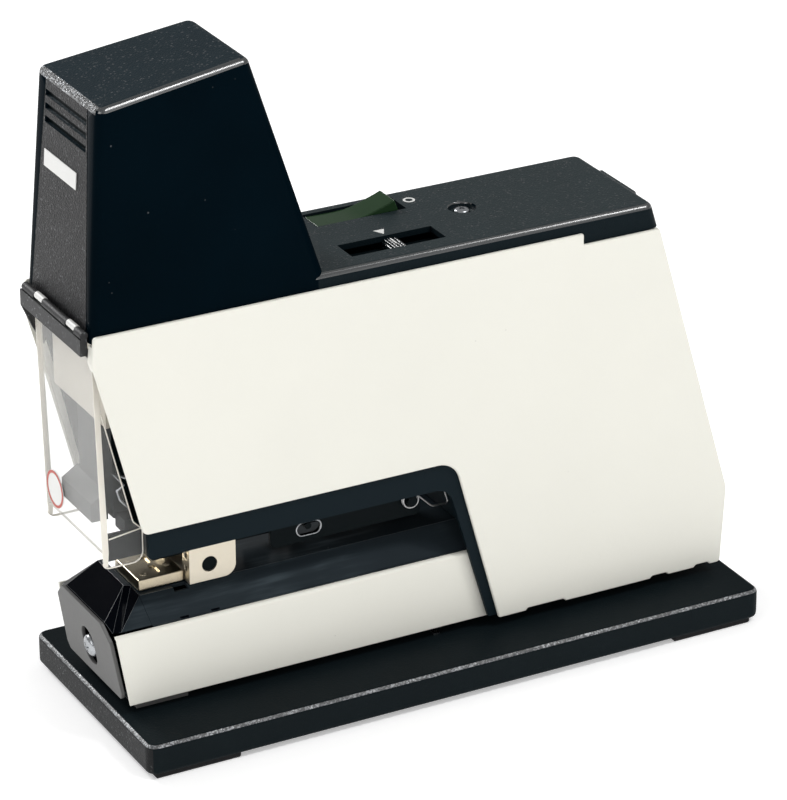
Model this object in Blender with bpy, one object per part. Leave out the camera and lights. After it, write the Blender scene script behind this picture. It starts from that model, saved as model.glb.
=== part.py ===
"""Electric desk stapler, modelled as an assembly of separate pieces.

All sizes are in millimetres and are turned into metres as each mesh is made.
The stapler frame has X running rearwards from the front edge of the base plate,
Y across (right-hand side negative) and Z up from the underside of the base plate.
"""
import math

import bmesh
import bpy
from mathutils import Matrix, Vector

MM = 0.001
GAP = 0.3                      # clearance between neighbouring pieces
SIDES = (("right", -1), ("left", 1))

# Base plate and its feet
BASE_LENGTH = 250.0
BASE_WIDTH = 98.0
BASE_THICK = 11.7
FOOT_DROP = 2.0
FOOT_SIZE = (33.0, 18.0)
FOOT_X = (2.9, 213.4)

# Body
COVER_HALF = 29.0              # outside of the white side covers
SHEET = 1.0
CHASSIS_HALF = 27.6
CHASSIS_THICK = 1.6
BODY_BOTTOM = 15.5
BODY_TOP = 160.2
THROAT_TOP = 82.7
SKIRT_BOTTOM = 72.3
REAR_FLANGE_HALF = 17.0

# Top cover: a deck with the solenoid tower at its front
DECK_HALF = 27.6
DECK_TOP = 165.5
DECK_REAR = 212.6
TOP_COVER_BOTTOM = 157.0
TOP_WALL = 2.2
TOWER_FRONT_FOOT = -6.7
TOWER_TOP = ((-0.5, 25.1, 239.7), (57.2, 23.0, 246.9))   # front and rear top edges: x, half width, z

# Arm and anvil
ARM_HALF = 25.0
ARM_TOP = 43.5
RIDGE_HALF = 12.0
RIDGE_TOP = 50.7
NOSE_TOP = 55.6
ANVIL_TOP = 55.4
STAPLE_X = 24.1                # the driver blade works in this plane

# Guard
GUARD_REACH = 10.0             # the bracket stands this far ahead of the base plate
GUARD_AXIS = (-8.3, 160.5)
SHIELD_HALF = 23.6
SHIELD_WALL = 1.2

# Magazine
MAGAZINE_HALF = 7.5
MAGAZINE_BOTTOM = 60.5
MAGAZINE_TOP = 70.2
MAGAZINE_REAR = 126.0
PIVOT = (121.0, 64.0)
STRIP_END = 65.0
PUSHER_LENGTH = 10.0

# Solenoid and driver
PLUNGER_RADIUS = 7.8
YOKE_BOTTOM = 160.0
YOKE_TOP = 206.0
COLLAR_BOTTOM = 226.0
DRIVER_TIP = 70.0

# Controls
ROCKER_PIVOT = (115.4, 161.1)
ROCKER_Y = 16.8
ROCKER_TILT = 8.0
KNOB_X = 116.0
KNOB_Y = -13.2
TRIGGER_PIVOT = (40.0, 79.5)
TRIGGER_Y = 17.0

ORIGIN_X = (BASE_LENGTH - GUARD_REACH) / 2

# colour, roughness, metallic
LOOKS = {
    "textured_black": ((0.013, 0.014, 0.017), 0.55, 0.0),
    "gloss_black": ((0.008, 0.010, 0.015), 0.18, 0.0),
    "painted_black": ((0.012, 0.012, 0.013), 0.35, 0.0),
    "painted_white": ((0.80, 0.78, 0.72), 0.38, 0.0),
    "painted_grey": ((0.16, 0.16, 0.165), 0.42, 0.0),
    "beige_plastic": ((0.62, 0.58, 0.50), 0.5, 0.0),
    "clear_plastic": ((0.92, 0.92, 0.90), 0.08, 0.0),
    "green_plastic": ((0.02, 0.09, 0.025), 0.2, 0.0),
    "white_plastic": ((0.8, 0.8, 0.78), 0.4, 0.0),
    "bright_steel": ((0.62, 0.62, 0.62), 0.28, 1.0),
    "nickel_plate": ((0.78, 0.72, 0.60), 0.25, 1.0),
    "copper_wire": ((0.60, 0.27, 0.12), 0.35, 1.0),
    "black_rubber": ((0.02, 0.02, 0.02), 0.8, 0.0),
    "circuit_board": ((0.03, 0.16, 0.06), 0.5, 0.0),
}


def clear_scene():
    """Remove whatever the scene holds."""
    for old in list(bpy.data.objects):
        bpy.data.objects.remove(old, do_unlink=True)


def material(look):
    """Return the named finish as a Principled material."""
    found = bpy.data.materials.get(look)
    if found:
        return found
    colour, roughness, metallic = LOOKS[look]
    made = bpy.data.materials.new(look)
    made.use_nodes = True
    shader = made.node_tree.nodes["Principled BSDF"]
    shader.inputs["Base Color"].default_value = (*colour, 1.0)
    shader.inputs["Roughness"].default_value = roughness
    shader.inputs["Metallic"].default_value = metallic
    made.diffuse_color = (*colour, 1.0)
    return made


def frame_at(name, place, parent=None):
    """Add an empty: the stapler frame itself, or a joint's place in it."""
    empty = bpy.data.objects.new(name, None)
    bpy.context.scene.collection.objects.link(empty)
    empty.location = Vector(place) * MM
    empty.parent = parent
    return empty


def add_piece(name, shape, look, parent):
    """Turn a bmesh in stapler-frame millimetres into an object under its parent.

    A look of None makes a hidden guide that only cuts or joins other pieces.
    """
    bmesh.ops.recalc_face_normals(shape, faces=shape.faces)
    mesh = bpy.data.meshes.new(name)
    shape.to_mesh(mesh)
    shape.free()
    shift = Vector((0, 0, 0)) if parent.parent is None else parent.location / MM
    mesh.transform(Matrix.Scale(MM, 4) @ Matrix.Translation(-shift))
    piece = bpy.data.objects.new(name, mesh)
    bpy.context.scene.collection.objects.link(piece)
    piece.parent = parent
    if look is None:
        piece.hide_render = True
        piece.display_type = "WIRE"
    else:
        mesh.materials.append(material(look))
    return piece


def combine(piece, other, operation):
    """Cut or join a piece with a hidden guide."""
    step = piece.modifiers.new(other.name, "BOOLEAN")
    step.operation = operation
    step.object = other
    return piece


def cut(piece, other):
    return combine(piece, other, "DIFFERENCE")


def weld(piece, other):
    return combine(piece, other, "UNION")


def soften(piece, width, segments=1, angle=40):
    """Round the sharp edges of a piece."""
    bevel = piece.modifiers.new("edges", "BEVEL")
    bevel.width = width * MM
    bevel.segments = segments
    bevel.limit_method = "ANGLE"
    bevel.angle_limit = math.radians(angle)
    return piece


def smooth(piece, angle=35):
    """Shade a round piece smooth, keeping its sharp edges."""
    piece.data.shade_smooth()
    piece.data.set_sharp_from_angle(angle=math.radians(angle))
    return piece


def rounded(corners, steps=4):
    """Return an outline whose corners (a, b, radius) are filleted with arcs."""
    outline = []
    for index, (a, b, radius) in enumerate(corners):
        here = Vector((a, b))
        if radius == 0:
            outline.append(here)
            continue
        before = (Vector(corners[index - 1][:2]) - here).normalized()
        after = (Vector(corners[(index + 1) % len(corners)][:2]) - here).normalized()
        half = before.angle(after) / 2
        centre = here + (before + after).normalized() * radius / math.sin(half)
        start = here + before * radius / math.tan(half) - centre
        end = here + after * radius / math.tan(half) - centre
        sweep = math.atan2(start.cross(end), start.dot(end))
        for step in range(steps + 1):
            outline.append(centre + Matrix.Rotation(sweep * step / steps, 2) @ start)
    return outline


def prism(name, plane, outline, low, high, look, parent):
    """Extrude an outline drawn in the XZ, XY or YZ plane along the third axis."""
    place = {"XZ": lambda a, b, c: (a, c, b),
             "XY": lambda a, b, c: (a, b, c),
             "YZ": lambda a, b, c: (c, a, b)}[plane]
    shape = bmesh.new()
    ends = []
    for level in (low, high):
        ends.append([shape.verts.new(place(a, b, level)) for a, b in outline])
        shape.faces.new(ends[-1])
    for index in range(len(outline)):
        near = index - 1
        shape.faces.new((ends[0][near], ends[0][index], ends[1][index], ends[1][near]))
    return add_piece(name, shape, look, parent)


def block(name, x, y, z, look, parent):
    """Add a box from its X, Y and Z ranges."""
    outline = [(x[0], y[0]), (x[1], y[0]), (x[1], y[1]), (x[0], y[1])]
    return prism(name, "XY", outline, z[0], z[1], look, parent)


def circle(a, b, radius, sides=24):
    """Return a polygon standing for a circle."""
    turn = 2 * math.pi / sides
    return [(a + radius * math.cos((step + 0.5) * turn), b + radius * math.sin((step + 0.5) * turn))
            for step in range(sides)]


def hull(name, points, look, parent):
    """Add the convex solid around some points."""
    shape = bmesh.new()
    for point in points:
        shape.verts.new(point)
    result = bmesh.ops.convex_hull(shape, input=shape.verts)
    loose = [item for item in result["geom_interior"] if isinstance(item, bmesh.types.BMVert)]
    bmesh.ops.delete(shape, geom=loose, context="VERTS")
    bmesh.ops.dissolve_limit(shape, angle_limit=0.001, verts=shape.verts, edges=shape.edges)
    return add_piece(name, shape, look, parent)


def turned(name, profile, centre, look, parent, sides=24):
    """Turn a closed (radius, height) profile about a vertical axis."""
    shape = bmesh.new()
    turn = 2 * math.pi / sides
    rings = []
    for step in range(sides):
        across = (math.cos(step * turn), math.sin(step * turn))
        rings.append([shape.verts.new((centre[0] + radius * across[0], centre[1] + radius * across[1], height))
                      for radius, height in profile])
    for step in range(sides):
        here, there = rings[step - 1], rings[step]
        for index in range(len(profile)):
            shape.faces.new((here[index - 1], here[index], there[index], there[index - 1]))
    return smooth(add_piece(name, shape, look, parent))


def wire(name, route, radius, look, parent, sides=6):
    """Sweep a round wire along a route of points."""
    points = [Vector(point) for point in route]
    shape = bmesh.new()
    rings = []
    across = None
    for index, point in enumerate(points):
        ahead = points[min(index + 1, len(points) - 1)] - points[max(index - 1, 0)]
        ahead.normalize()
        across = ahead.orthogonal() if across is None else across - ahead * across.dot(ahead)
        across.normalize()
        upward = ahead.cross(across)
        ring = []
        for side in range(sides):
            angle = 2 * math.pi * side / sides
            offset = across * math.cos(angle) + upward * math.sin(angle)
            ring.append(shape.verts.new(point + offset * radius))
        rings.append(ring)
    shape.faces.new(rings[0])
    shape.faces.new(rings[-1])
    for here, there in zip(rings, rings[1:]):
        for side in range(sides):
            shape.faces.new((here[side - 1], here[side], there[side], there[side - 1]))
    return smooth(add_piece(name, shape, look, parent), 60)


def coil_route(start, along, radius, turns, length, steps=10):
    """Return the points of a helix about the X, Y or Z axis through start."""
    axis = "XYZ".index(along)
    route = []
    for step in range(int(turns * steps) + 1):
        angle = 2 * math.pi * step / steps
        offset = [0.0, 0.0, 0.0]
        offset[axis] = length * step / (turns * steps)
        offset[axis - 2] = radius * math.cos(angle)
        offset[axis - 1] = radius * math.sin(angle)
        route.append(Vector(start) + Vector(offset))
    return route


def arm_front(z, ahead=0.0):
    """Return X of the arm's leaning front plane at a height."""
    return 2.3 - (z - BODY_BOTTOM) * 0.167 - ahead


def make_base(body):
    """Base plate with four rubber feet let into its underside."""
    half = BASE_WIDTH / 2
    plan = rounded([(0, -half, 4), (BASE_LENGTH, -half, 4), (BASE_LENGTH, half, 4), (0, half, 4)])
    plate = prism("base_plate", "XY", plan, 0, BASE_THICK, "textured_black", body)
    soften(plate, 1.6, 2, 60)
    for end, x in zip(("front", "rear"), FOOT_X):
        for side, sign in SIDES:
            y = sorted((sign * (half - 1.2), sign * (half - 1.2 - FOOT_SIZE[1])))
            pocket = block("foot_pocket_" + end + "_" + side, (x - GAP, x + FOOT_SIZE[0] + GAP),
                           (y[0] - GAP, y[1] + GAP), (-1, 1.0), None, body)
            cut(plate, pocket)
            pad = block("foot_" + end + "_" + side, (x, x + FOOT_SIZE[0]), y, (-FOOT_DROP, 0.7),
                        "black_rubber", body)
            soften(pad, 0.6)
    for end, x, half in (("front", (8, 28), 21.5), ("rear", (172, 212), 15)):
        block("stand_" + end, x, (-half, half), (BASE_THICK + GAP, 15 - GAP), "bright_steel", body)


def cover_outline():
    """Side view of a white cover, with the paper throat cut into its front."""
    notches = []
    for start, end in ((161, 178), (214, 222), (233, 240)):
        notches += [(start, BODY_BOTTOM, 0), (start + 1, BODY_BOTTOM + 1, 0),
                    (end - 1, BODY_BOTTOM + 1, 0), (end, BODY_BOTTOM, 0)]
    return rounded([(149.9, BODY_BOTTOM, 0)] + notches
                   + [(244.4, BODY_BOTTOM, 1.5), (246.3, 46, 12), (214.6, 155.9, 1.0), (183.2, 155.9, 1.0),
                      (183.2, BODY_TOP, 1.0), (-6.6, BODY_TOP, 1.2), (-7.7, 150.6, 6), (-1.1, 125.5, 0),
                      (9.6, THROAT_TOP, 2.5), (131.4, THROAT_TOP, 9)])


def make_covers(body):
    """Two bent sheet covers; their rear edges wrap round on to the back."""
    cavity = [(120, 5), (243.35, 5), (243.4, BODY_BOTTOM), (245.3, 46), (213.7, 154.9), (182.2, 154.9),
              (182.2, BODY_TOP - SHEET), (-20, BODY_TOP - SHEET), (-20, 60), (120, 60)]
    for side, sign in SIDES:
        outer = sorted((sign * COVER_HALF, sign * REAR_FLANGE_HALF))
        inner = sorted((sign * (COVER_HALF - SHEET), sign * (REAR_FLANGE_HALF - 3)))
        cover = prism("side_cover_" + side, "XZ", cover_outline(), outer[0], outer[1], "painted_white", body)
        hollow = prism("cover_hollow_" + side, "XZ", cavity, inner[0], inner[1], None, body)
        top_trim = sorted((sign * (DECK_HALF + GAP), sign * 10.0))
        trim = block("cover_trim_" + side, (-20, DECK_REAR + GAP), top_trim, (150, 170), None, body)
        cut(cut(cover, hollow), trim)
        tab_y = sorted((sign * 25.4, sign * (COVER_HALF - 0.5)))
        tab = prism("cover_tab_" + side, "XZ", [(-7.7, 150.6), (-7.0, 156.6), (-6.0, 156.6), (-6.6, 147.5),
                                                (-6.9, 147.5)], tab_y[0], tab_y[1], None, body)
        weld(cover, tab)


def chassis_outline():
    """Side view of a chassis plate: it stands out below and behind the throat edge."""
    return rounded([(146.2, BODY_BOTTOM + 1, 0), (241.8, BODY_BOTTOM + 1, 2), (243.8, 46, 8), (213, 152.5, 2),
                    (-2.2, 152.5, 2), (-2.0, 146, 0), (11.6, 86, 4), (11.6, SKIRT_BOTTOM, 1.5),
                    (129.6, SKIRT_BOTTOM, 7)])


def make_chassis(body):
    """Two steel plates, the cross rods between them and the pan over the throat."""
    for side, sign in SIDES:
        y = sorted((sign * CHASSIS_HALF, sign * (CHASSIS_HALF - CHASSIS_THICK)))
        prism("chassis_plate_" + side, "XZ", chassis_outline(), y[0], y[1], "painted_black", body)
    reach = CHASSIS_HALF - CHASSIS_THICK - GAP
    for place, x, z in (("front", 62, 140), ("rear", 205, 110)):
        rod = prism("cross_rod_" + place, "XZ", circle(x, z, 4, 16), -reach, reach, "bright_steel", body)
        smooth(rod)
    block("throat_pan", (44, 136), (-reach, reach), (SKIRT_BOTTOM, SKIRT_BOTTOM + 1.5), "painted_black", body)
    wall = [(139.7, 52), (141.3, 52), (135.3, SKIRT_BOTTOM - GAP), (133.7, SKIRT_BOTTOM - GAP)]
    prism("throat_bulkhead", "XZ", wall, -reach, reach, "painted_black", body)


def tower_corners(inset):
    """Corners of the tower, or of its hollow when inset is the wall thickness."""
    foot_half = DECK_HALF - inset
    foot = TOP_COVER_BOTTOM if inset == 0 else TOP_COVER_BOTTOM - 2
    front_foot = TOWER_FRONT_FOOT + inset
    rear_foot = 84.0 - inset
    corners = []
    for sign in (-1, 1):
        corners += [(front_foot, sign * foot_half, foot), (rear_foot, sign * foot_half, foot)]
        for (x, half, z), step in zip(TOWER_TOP, (inset, -inset * 0.8)):
            corners.append((x + step, sign * (half - inset), z - inset))
    return corners


def make_top_cover(body):
    """Moulded cover: tower and deck in one piece, open underneath."""
    cover = hull("top_cover", tower_corners(0), "textured_black", body)
    soften(cover, 2.6, 2, 30)
    deck_plan = rounded([(76, -DECK_HALF, 0), (DECK_REAR, -DECK_HALF, 2), (DECK_REAR, DECK_HALF, 2),
                         (76, DECK_HALF, 0)])
    deck = prism("deck_form", "XY", deck_plan, TOP_COVER_BOTTOM, DECK_TOP, None, body)
    soften(deck, 1.6, 2, 60)
    weld(cover, deck)
    apron = block("deck_apron", (183.6, DECK_REAR - 1), (-DECK_HALF, DECK_HALF), (155.2, 160), None, body)
    weld(cover, apron)
    inner = DECK_HALF - TOP_WALL
    deck_hollow = block("deck_hollow", (22, DECK_REAR - TOP_WALL - 1), (-inner, inner),
                        (TOP_COVER_BOTTOM - 5, DECK_TOP - TOP_WALL), None, body)
    cut(cover, deck_hollow)
    cut(cover, hull("tower_hollow", tower_corners(TOP_WALL), None, body))
    cut(cover, block("rocker_opening", (97.5, 133.3), (10.8, 22.8), (160, 170), None, body))
    cut(cover, block("slider_opening", (96, 133), (-18.9, -7.6), (160, 170), None, body))
    cut(cover, prism("screw_hole", "XY", circle(151, 2.3, 2.4, 16), 160, 170, None, body))
    cut(cover, prism("screw_recess", "XY", circle(151, 2.3, 4.85, 24), DECK_TOP - 1.4, 170, None, body))
    for z in (232.1, 227.4, 222.8):
        x = TOWER_FRONT_FOOT + (z - TOP_COVER_BOTTOM) * 0.075
        vent = block("vent_%d" % z, (x - 3, x + 0.9), (-15.5, 15.5), (z - 1.1, z + 1.1), None, body)
        cut(cover, vent)
    turned("deck_screw", [(0.05, 148), (1.6, 148), (1.6, 164.35), (2.85, 164.35), (2.6, 165.1), (1.5, 165.5),
                          (0.05, 165.6)], (151, 2.3), "bright_steel", body, 16)


def make_switch(body):
    """Mains rocker switch under the deck."""
    x0 = ROCKER_PIVOT[0]
    case = block("switch_case", (x0 - 19, x0 + 19), (ROCKER_Y - 7, ROCKER_Y + 7), (140, 162.9),
                 "gloss_black", body)
    well = block("switch_well", (x0 - 17.6, x0 + 17.6), (ROCKER_Y - 5.9, ROCKER_Y + 5.9), (151, 165), None, body)
    cut(case, well)
    tilt = Matrix.Rotation(math.radians(ROCKER_TILT), 2)
    side_view = [(-16.3, 6.2), (-15.6, 0.5), (-6, -5.5), (6, -5.5), (15.6, 0.5), (14.6, 6.4), (0, 3.9)]
    outline = [tilt @ Vector(point) + Vector(ROCKER_PIVOT) for point in side_view]
    axle = frame_at("rocker_joint", (ROCKER_PIVOT[0], ROCKER_Y, ROCKER_PIVOT[1]), body)
    prism("rocker", "XZ", outline, ROCKER_Y - 5.5, ROCKER_Y + 5.5, "green_plastic", axle)


def make_slider(body):
    """Staple-force slider: a body under the deck and a ribbed knob in its slot."""
    housing = block("slider_body", (93, 137), (KNOB_Y - 6.2, KNOB_Y + 6.2), (150, 160.7), "gloss_black", body)
    groove = block("slider_groove", (95.5, 133.5), (KNOB_Y - 0.9, KNOB_Y + 0.9), (155, 165), None, body)
    cut(housing, groove)
    rail = frame_at("slider_joint", (KNOB_X, KNOB_Y, 161), body)
    ribs = [(KNOB_X + 2.8, 161.0), (KNOB_X + 2.8, 163.0)]
    for step in range(4):
        x = KNOB_X + 2.4 - step * 1.3
        ribs += [(x, 164.6), (x - 0.6, 164.6), (x - 0.9, 163.6), (x - 1.1, 163.6)]
    ribs += [(KNOB_X - 2.9, 163.0), (KNOB_X - 2.9, 161.0)]
    knob = prism("slider_knob", "XZ", ribs, KNOB_Y - 5.0, KNOB_Y + 5.0, "gloss_black", rail)
    stem = block("slider_stem", (KNOB_X - 1.5, KNOB_X + 1.5), (KNOB_Y - 0.4, KNOB_Y + 0.4), (156, 162), None, rail)
    weld(knob, stem)


def make_rear(body):
    """Rear panel between the cover flanges, with the mains inlet."""
    half = REAR_FLANGE_HALF - GAP
    strip = [(243.6, 17), (245.7, 46), (214.1, 154.6), (211.9, 154.2), (243.4, 45.6), (241.5, 17)]
    panel = prism("rear_panel", "XZ", strip, -half, half, "textured_black", body)
    cut(panel, block("inlet_way", (235, 250), (-13.8, 13.8), (20.7, 41.3), None, body))
    inlet = block("mains_inlet", (224, 244.0), (-13.5, 13.5), (21, 41), "gloss_black", body)
    cut(inlet, block("inlet_socket", (227, 250), (-11.2, 11.2), (24, 38), None, body))
    for y in (-7, 0, 7):
        weld(inlet, block("inlet_pin_%d" % y, (226, 237), (y - 1, y + 1), (28, 32), None, body))


def make_electronics(body):
    """Control board, reservoir capacitor and the switch worked by the trigger."""
    block("control_board", (160, 222), (14, 15.6), (48, 102), "circuit_board", body)
    capacitor = prism("capacitor", "YZ", circle(-4, 72, 12.5, 20), 172, 214, "gloss_black", body)
    smooth(capacitor)
    block("microswitch", (44, 62), (14.2, 20.2), (74.2, 86), "gloss_black", body)


def make_solenoid(body):
    """Solenoid in the tower; its plunger drives the blade down."""
    x = STAPLE_X
    yoke = block("solenoid_yoke", (x - 20, x + 20), (-17, 17), (YOKE_BOTTOM, YOKE_TOP), "bright_steel", body)
    cut(yoke, block("yoke_window", (x - 17, x + 17), (-20, 20), (YOKE_BOTTOM + 3, YOKE_TOP - 3), None, body))
    cut(yoke, prism("yoke_bore", "XY", circle(x, 0, 8.7), YOKE_BOTTOM - 1, YOKE_TOP + 1, None, body))
    low, high = YOKE_BOTTOM + 3 + GAP, YOKE_TOP - 3 - GAP
    turned("bobbin", [(8.4, low), (16, low), (16, low + 1.5), (9.8, low + 1.5), (9.8, high - 1.5),
                      (16, high - 1.5), (16, high), (8.4, high)], (x, 0), "white_plastic", body)
    turned("solenoid_coil", [(10.1, low + 1.8), (15.4, low + 1.8), (15.4, high - 1.8), (10.1, high - 1.8)],
           (x, 0), "copper_wire", body)
    drive = frame_at("driver_joint", (x, 0, YOKE_TOP), body)
    plunger = prism("plunger", "XY", circle(x, 0, PLUNGER_RADIUS), 142, 230, "bright_steel", drive)
    smooth(plunger)
    turned("plunger_collar", [(8.1, COLLAR_BOTTOM), (12, COLLAR_BOTTOM), (12, COLLAR_BOTTOM + 2.2),
                              (8.1, COLLAR_BOTTOM + 2.2)], (x, 0), "bright_steel", drive)
    block("driver_carrier", (x - 7, x + 7), (-9, 9), (126, 142 - GAP), "bright_steel", drive)
    block("driver_blade", (x - 0.5, x + 0.5), (-5.8, 5.8), (DRIVER_TIP, 126 - GAP), "bright_steel", drive)
    rise = COLLAR_BOTTOM - YOKE_TOP - 2.4
    route = coil_route((x, 0, YOKE_TOP + 1.2), "Z", 10.2, 5, rise)
    wire("return_spring", route, 0.8, "bright_steel", body)


def make_head(body):
    """Casting that guides the driver, and the plate above it."""
    profile = [(5, 84), (5, 122), (11.5, 122), (11.5, 110), (38, 110), (38, 84)]
    casting = prism("head_casting", "XZ", profile, -14, 14, "painted_black", body)
    weld(casting, block("head_nose", (17, 38), (-8.5, 8.5), (74.5, 85), None, body))
    foot = [(-0.6, 81), (-0.6, 88), (5.6, 92), (5.6, 81)]
    weld(casting, prism("head_foot", "XZ", foot, -8, 17, None, body))
    weld(casting, block("head_cheek", (-2.2, 12.5), (-22.0, -20.4), (72.3, 82.3), None, body))
    weld(casting, block("cheek_rib", (6, 12.5), (-21, -13), (80.5, 86), None, body))
    cut(casting, block("blade_way", (STAPLE_X - 1.2, STAPLE_X + 1.2), (-6.6, 6.6), (70, 115), None, body))
    angle = [(0, 122.5), (1.5, 122.5), (1.5, 150), (13, 150), (13, 151.5), (0, 151.5)]
    prism("head_plate", "XZ", angle, -21.6, 21.6, "beige_plastic", body)


def make_arm(body):
    """Lower arm: steel channel, front plate, hood, side panels and anvil."""
    walls = [(-20.5, 15), (20.5, 15), (20.5, 42), (18.5, 42), (18.5, 17), (-18.5, 17), (-18.5, 42), (-20.5, 42)]
    channel = prism("arm_channel", "YZ", walls, 6, 236, "painted_black", body)
    cut(channel, block("inlet_room", (218, 240), (-30, 30), (20, 60), None, body))
    make_arm_front(body)
    make_arm_hood(body)
    for side, sign in SIDES:
        make_arm_panel(side, sign, body)
    anvil = block("anvil_plate", (15.3, 32.9), (-10, 10), (RIDGE_TOP + GAP, ANVIL_TOP), "nickel_plate", body)
    soften(anvil, 0.5)
    for y in (-4.0, 4.0):
        groove = rounded([(STAPLE_X - 1.2, y - 3.4, 1.1), (STAPLE_X + 1.2, y - 3.4, 1.1),
                          (STAPLE_X + 1.2, y + 3.4, 1.1), (STAPLE_X - 1.2, y + 3.4, 1.1)], 2)
        cut(anvil, prism("clinch_groove_%d" % y, "XY", groove, ANVIL_TOP - 0.8, 60, None, body))


def make_arm_front(body):
    """Leaning front plate with its keyhole and screw."""
    half_view = [(21.5, 17.3), (23.2, 20), (22.4, 40.5), (16.6, 46)]
    outline = half_view + [(-y, z) for y, z in reversed(half_view)]
    shape = bmesh.new()
    rings = []
    for back in (0.0, 1.5):
        rings.append([shape.verts.new((arm_front(z, -back), y, z)) for y, z in outline])
        shape.faces.new(rings[-1])
    for index in range(len(outline)):
        shape.faces.new((rings[0][index - 1], rings[0][index], rings[1][index], rings[1][index - 1]))
    plate = add_piece("arm_front_plate", shape, "painted_grey", body)
    keyhole = rounded([(-5.0, 21.5, 4.9), (5.0, 21.5, 4.9), (5.0, 36.5, 4.9), (-5.0, 36.5, 4.9)])
    cut(plate, prism("keyhole", "YZ", keyhole, -6, 10, None, body))
    screw = turned("arm_front_screw", [(0.05, -9), (2.4, -9), (2.4, 0.2), (4.3, 0.2), (4.0, 1.6), (2.6, 2.5),
                                       (0.05, 2.7)], (0, 0), "bright_steel", body, 20)
    lean = math.atan(0.167)
    seat = Matrix.Translation(Vector((arm_front(29, -1.4), 0, 29)) * MM)
    screw.data.transform(seat @ Matrix.Rotation(-math.pi / 2 - lean, 4, "Y"))
    cut(bpy.data.objects["arm_channel"], block("screw_room", (0, 14), (-4, 4), (20, 38), None, body))


def make_arm_hood(body):
    """Black hood: a hipped nose in front of a long roof that is open underneath."""
    low = ARM_TOP + GAP
    slope = [(23.0, low - 0.7), (23.0, low), (22.3, low), (RIDGE_HALF, RIDGE_TOP)]
    under = [(RIDGE_HALF - 0.4, RIDGE_TOP - 1.3), (20.8, low), (20.8, low - 0.7)]
    outline = slope[:] + [(-y, z) for y, z in reversed(slope)]
    outline += [(-y, z) for y, z in reversed(under)] + under
    roof = prism("arm_hood", "YZ", outline, 14.5, 142, "gloss_black", body)
    points, shoulder = [], []
    for sign in (-1, 1):
        points += [(arm_front(46, -1.9), sign * 16.2, 46), (arm_front(low, -1.9), sign * 16.8, low),
                   (9.2, sign * 10.9, NOSE_TOP), (11.6, sign * 11.6, NOSE_TOP - 0.4), (-0.2, sign * 21.6, low),
                   (2.6, sign * 22.3, low), (14.6, sign * RIDGE_HALF, RIDGE_TOP)]
        shoulder += [(1.6, sign * 22.15, low), (15.0, sign * 22.3, low), (15.0, sign * RIDGE_HALF, RIDGE_TOP),
                     (13.6, sign * (RIDGE_HALF - 0.1), RIDGE_TOP - 0.1)]
    weld(roof, hull("hood_nose", points, None, body))
    weld(roof, hull("hood_shoulder", shoulder, None, body))


def make_arm_panel(side, sign, body):
    """White side panel of the arm, with a rounded top edge turned inwards."""
    section = rounded([(ARM_HALF, BODY_BOTTOM, 0), (ARM_HALF, ARM_TOP, 1.5), (23.3, ARM_TOP, 0),
                       (23.3, ARM_TOP - SHEET, 0), (ARM_HALF - SHEET, ARM_TOP - SHEET, 0),
                       (ARM_HALF - SHEET, BODY_BOTTOM, 0)])
    section = [(sign * y, z) for y, z in section]
    panel = prism("arm_panel_" + side, "YZ", section, 0, 149, "painted_white", body)
    for vertex in panel.data.vertices:
        if vertex.co.x < 1 * MM:
            vertex.co.x = arm_front(vertex.co.z / MM, -1.9) * MM
    radius = 9.0
    corner = [(155, 50), (149 - radius, 50)]
    for step in range(7):
        angle = math.radians(90 - 15 * step)
        corner.append((149 - radius + radius * math.cos(angle), ARM_TOP - radius + radius * math.sin(angle)))
    corner.append((150, ARM_TOP - radius))
    y = sorted((sign * 18, sign * 30))
    cut(panel, prism("panel_corner_" + side, "XZ", corner, y[0], y[1], None, body))


def make_guard(body):
    """Clear finger guard that swings up on a bracket."""
    hinge = frame_at("guard_joint", (GUARD_AXIS[0], 0, GUARD_AXIS[1]), body)
    rear_line = [(-7.3, 158.7), (-7.3, 155.5), (-3.6, 150), (-0.6, 139.5), (-2.4, 136.8)]
    arm_views = {"right": [(-8.4, 158.7)] + rear_line + [(-4.3, 142), (-5.6, 149.5), (-8.4, 153.2)],
                 "left": [(-10, 158.7)] + rear_line + [(-6.2, 144), (-10, 152.8)]}
    bracket = block("guard_bracket", (-10, -7.3), (-25.1, 25.1), (152.8, 158.7), "textured_black", hinge)
    for side, sign in SIDES:
        y = sorted((sign * 25.1, sign * (SHIELD_HALF + GAP)))
        weld(bracket, prism("bracket_arm_" + side, "XZ", arm_views[side], y[0], y[1], None, hinge))
        pin_y = ((-19.4, -12.9), (7.2, 13.7))[sign > 0]
        pin = prism("guard_pin_" + side, "XZ", circle(GUARD_AXIS[0], GUARD_AXIS[1], 1.3, 12),
                    pin_y[0], pin_y[1], "white_plastic", body)
        smooth(pin)
    side_view = rounded([(-5.5, 152, 0), (-3.9, 77, 0), (-3.3, 70.3, 2), (11.6, 70.3, 4), (11.6, 82.5, 1),
                         (8.2, 86, 2), (-2.4, 129, 0), (-3.2, 152, 0)])
    shield = prism("guard_shield", "XZ", side_view, -SHIELD_HALF, SHIELD_HALF, "clear_plastic", hinge)
    inner = SHIELD_HALF - SHIELD_WALL
    room = [(-5.5 + SHIELD_WALL, 160), (-3.9 + SHIELD_WALL, 77), (-3.9 + SHIELD_WALL, 60), (30, 60), (30, 160)]
    cut(shield, prism("shield_room", "XZ", room, -inner, inner, None, hinge))
    cut(shield, block("shield_sill", (-10, 20), (-inner, inner), (60, 76.5), None, hinge))


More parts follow.
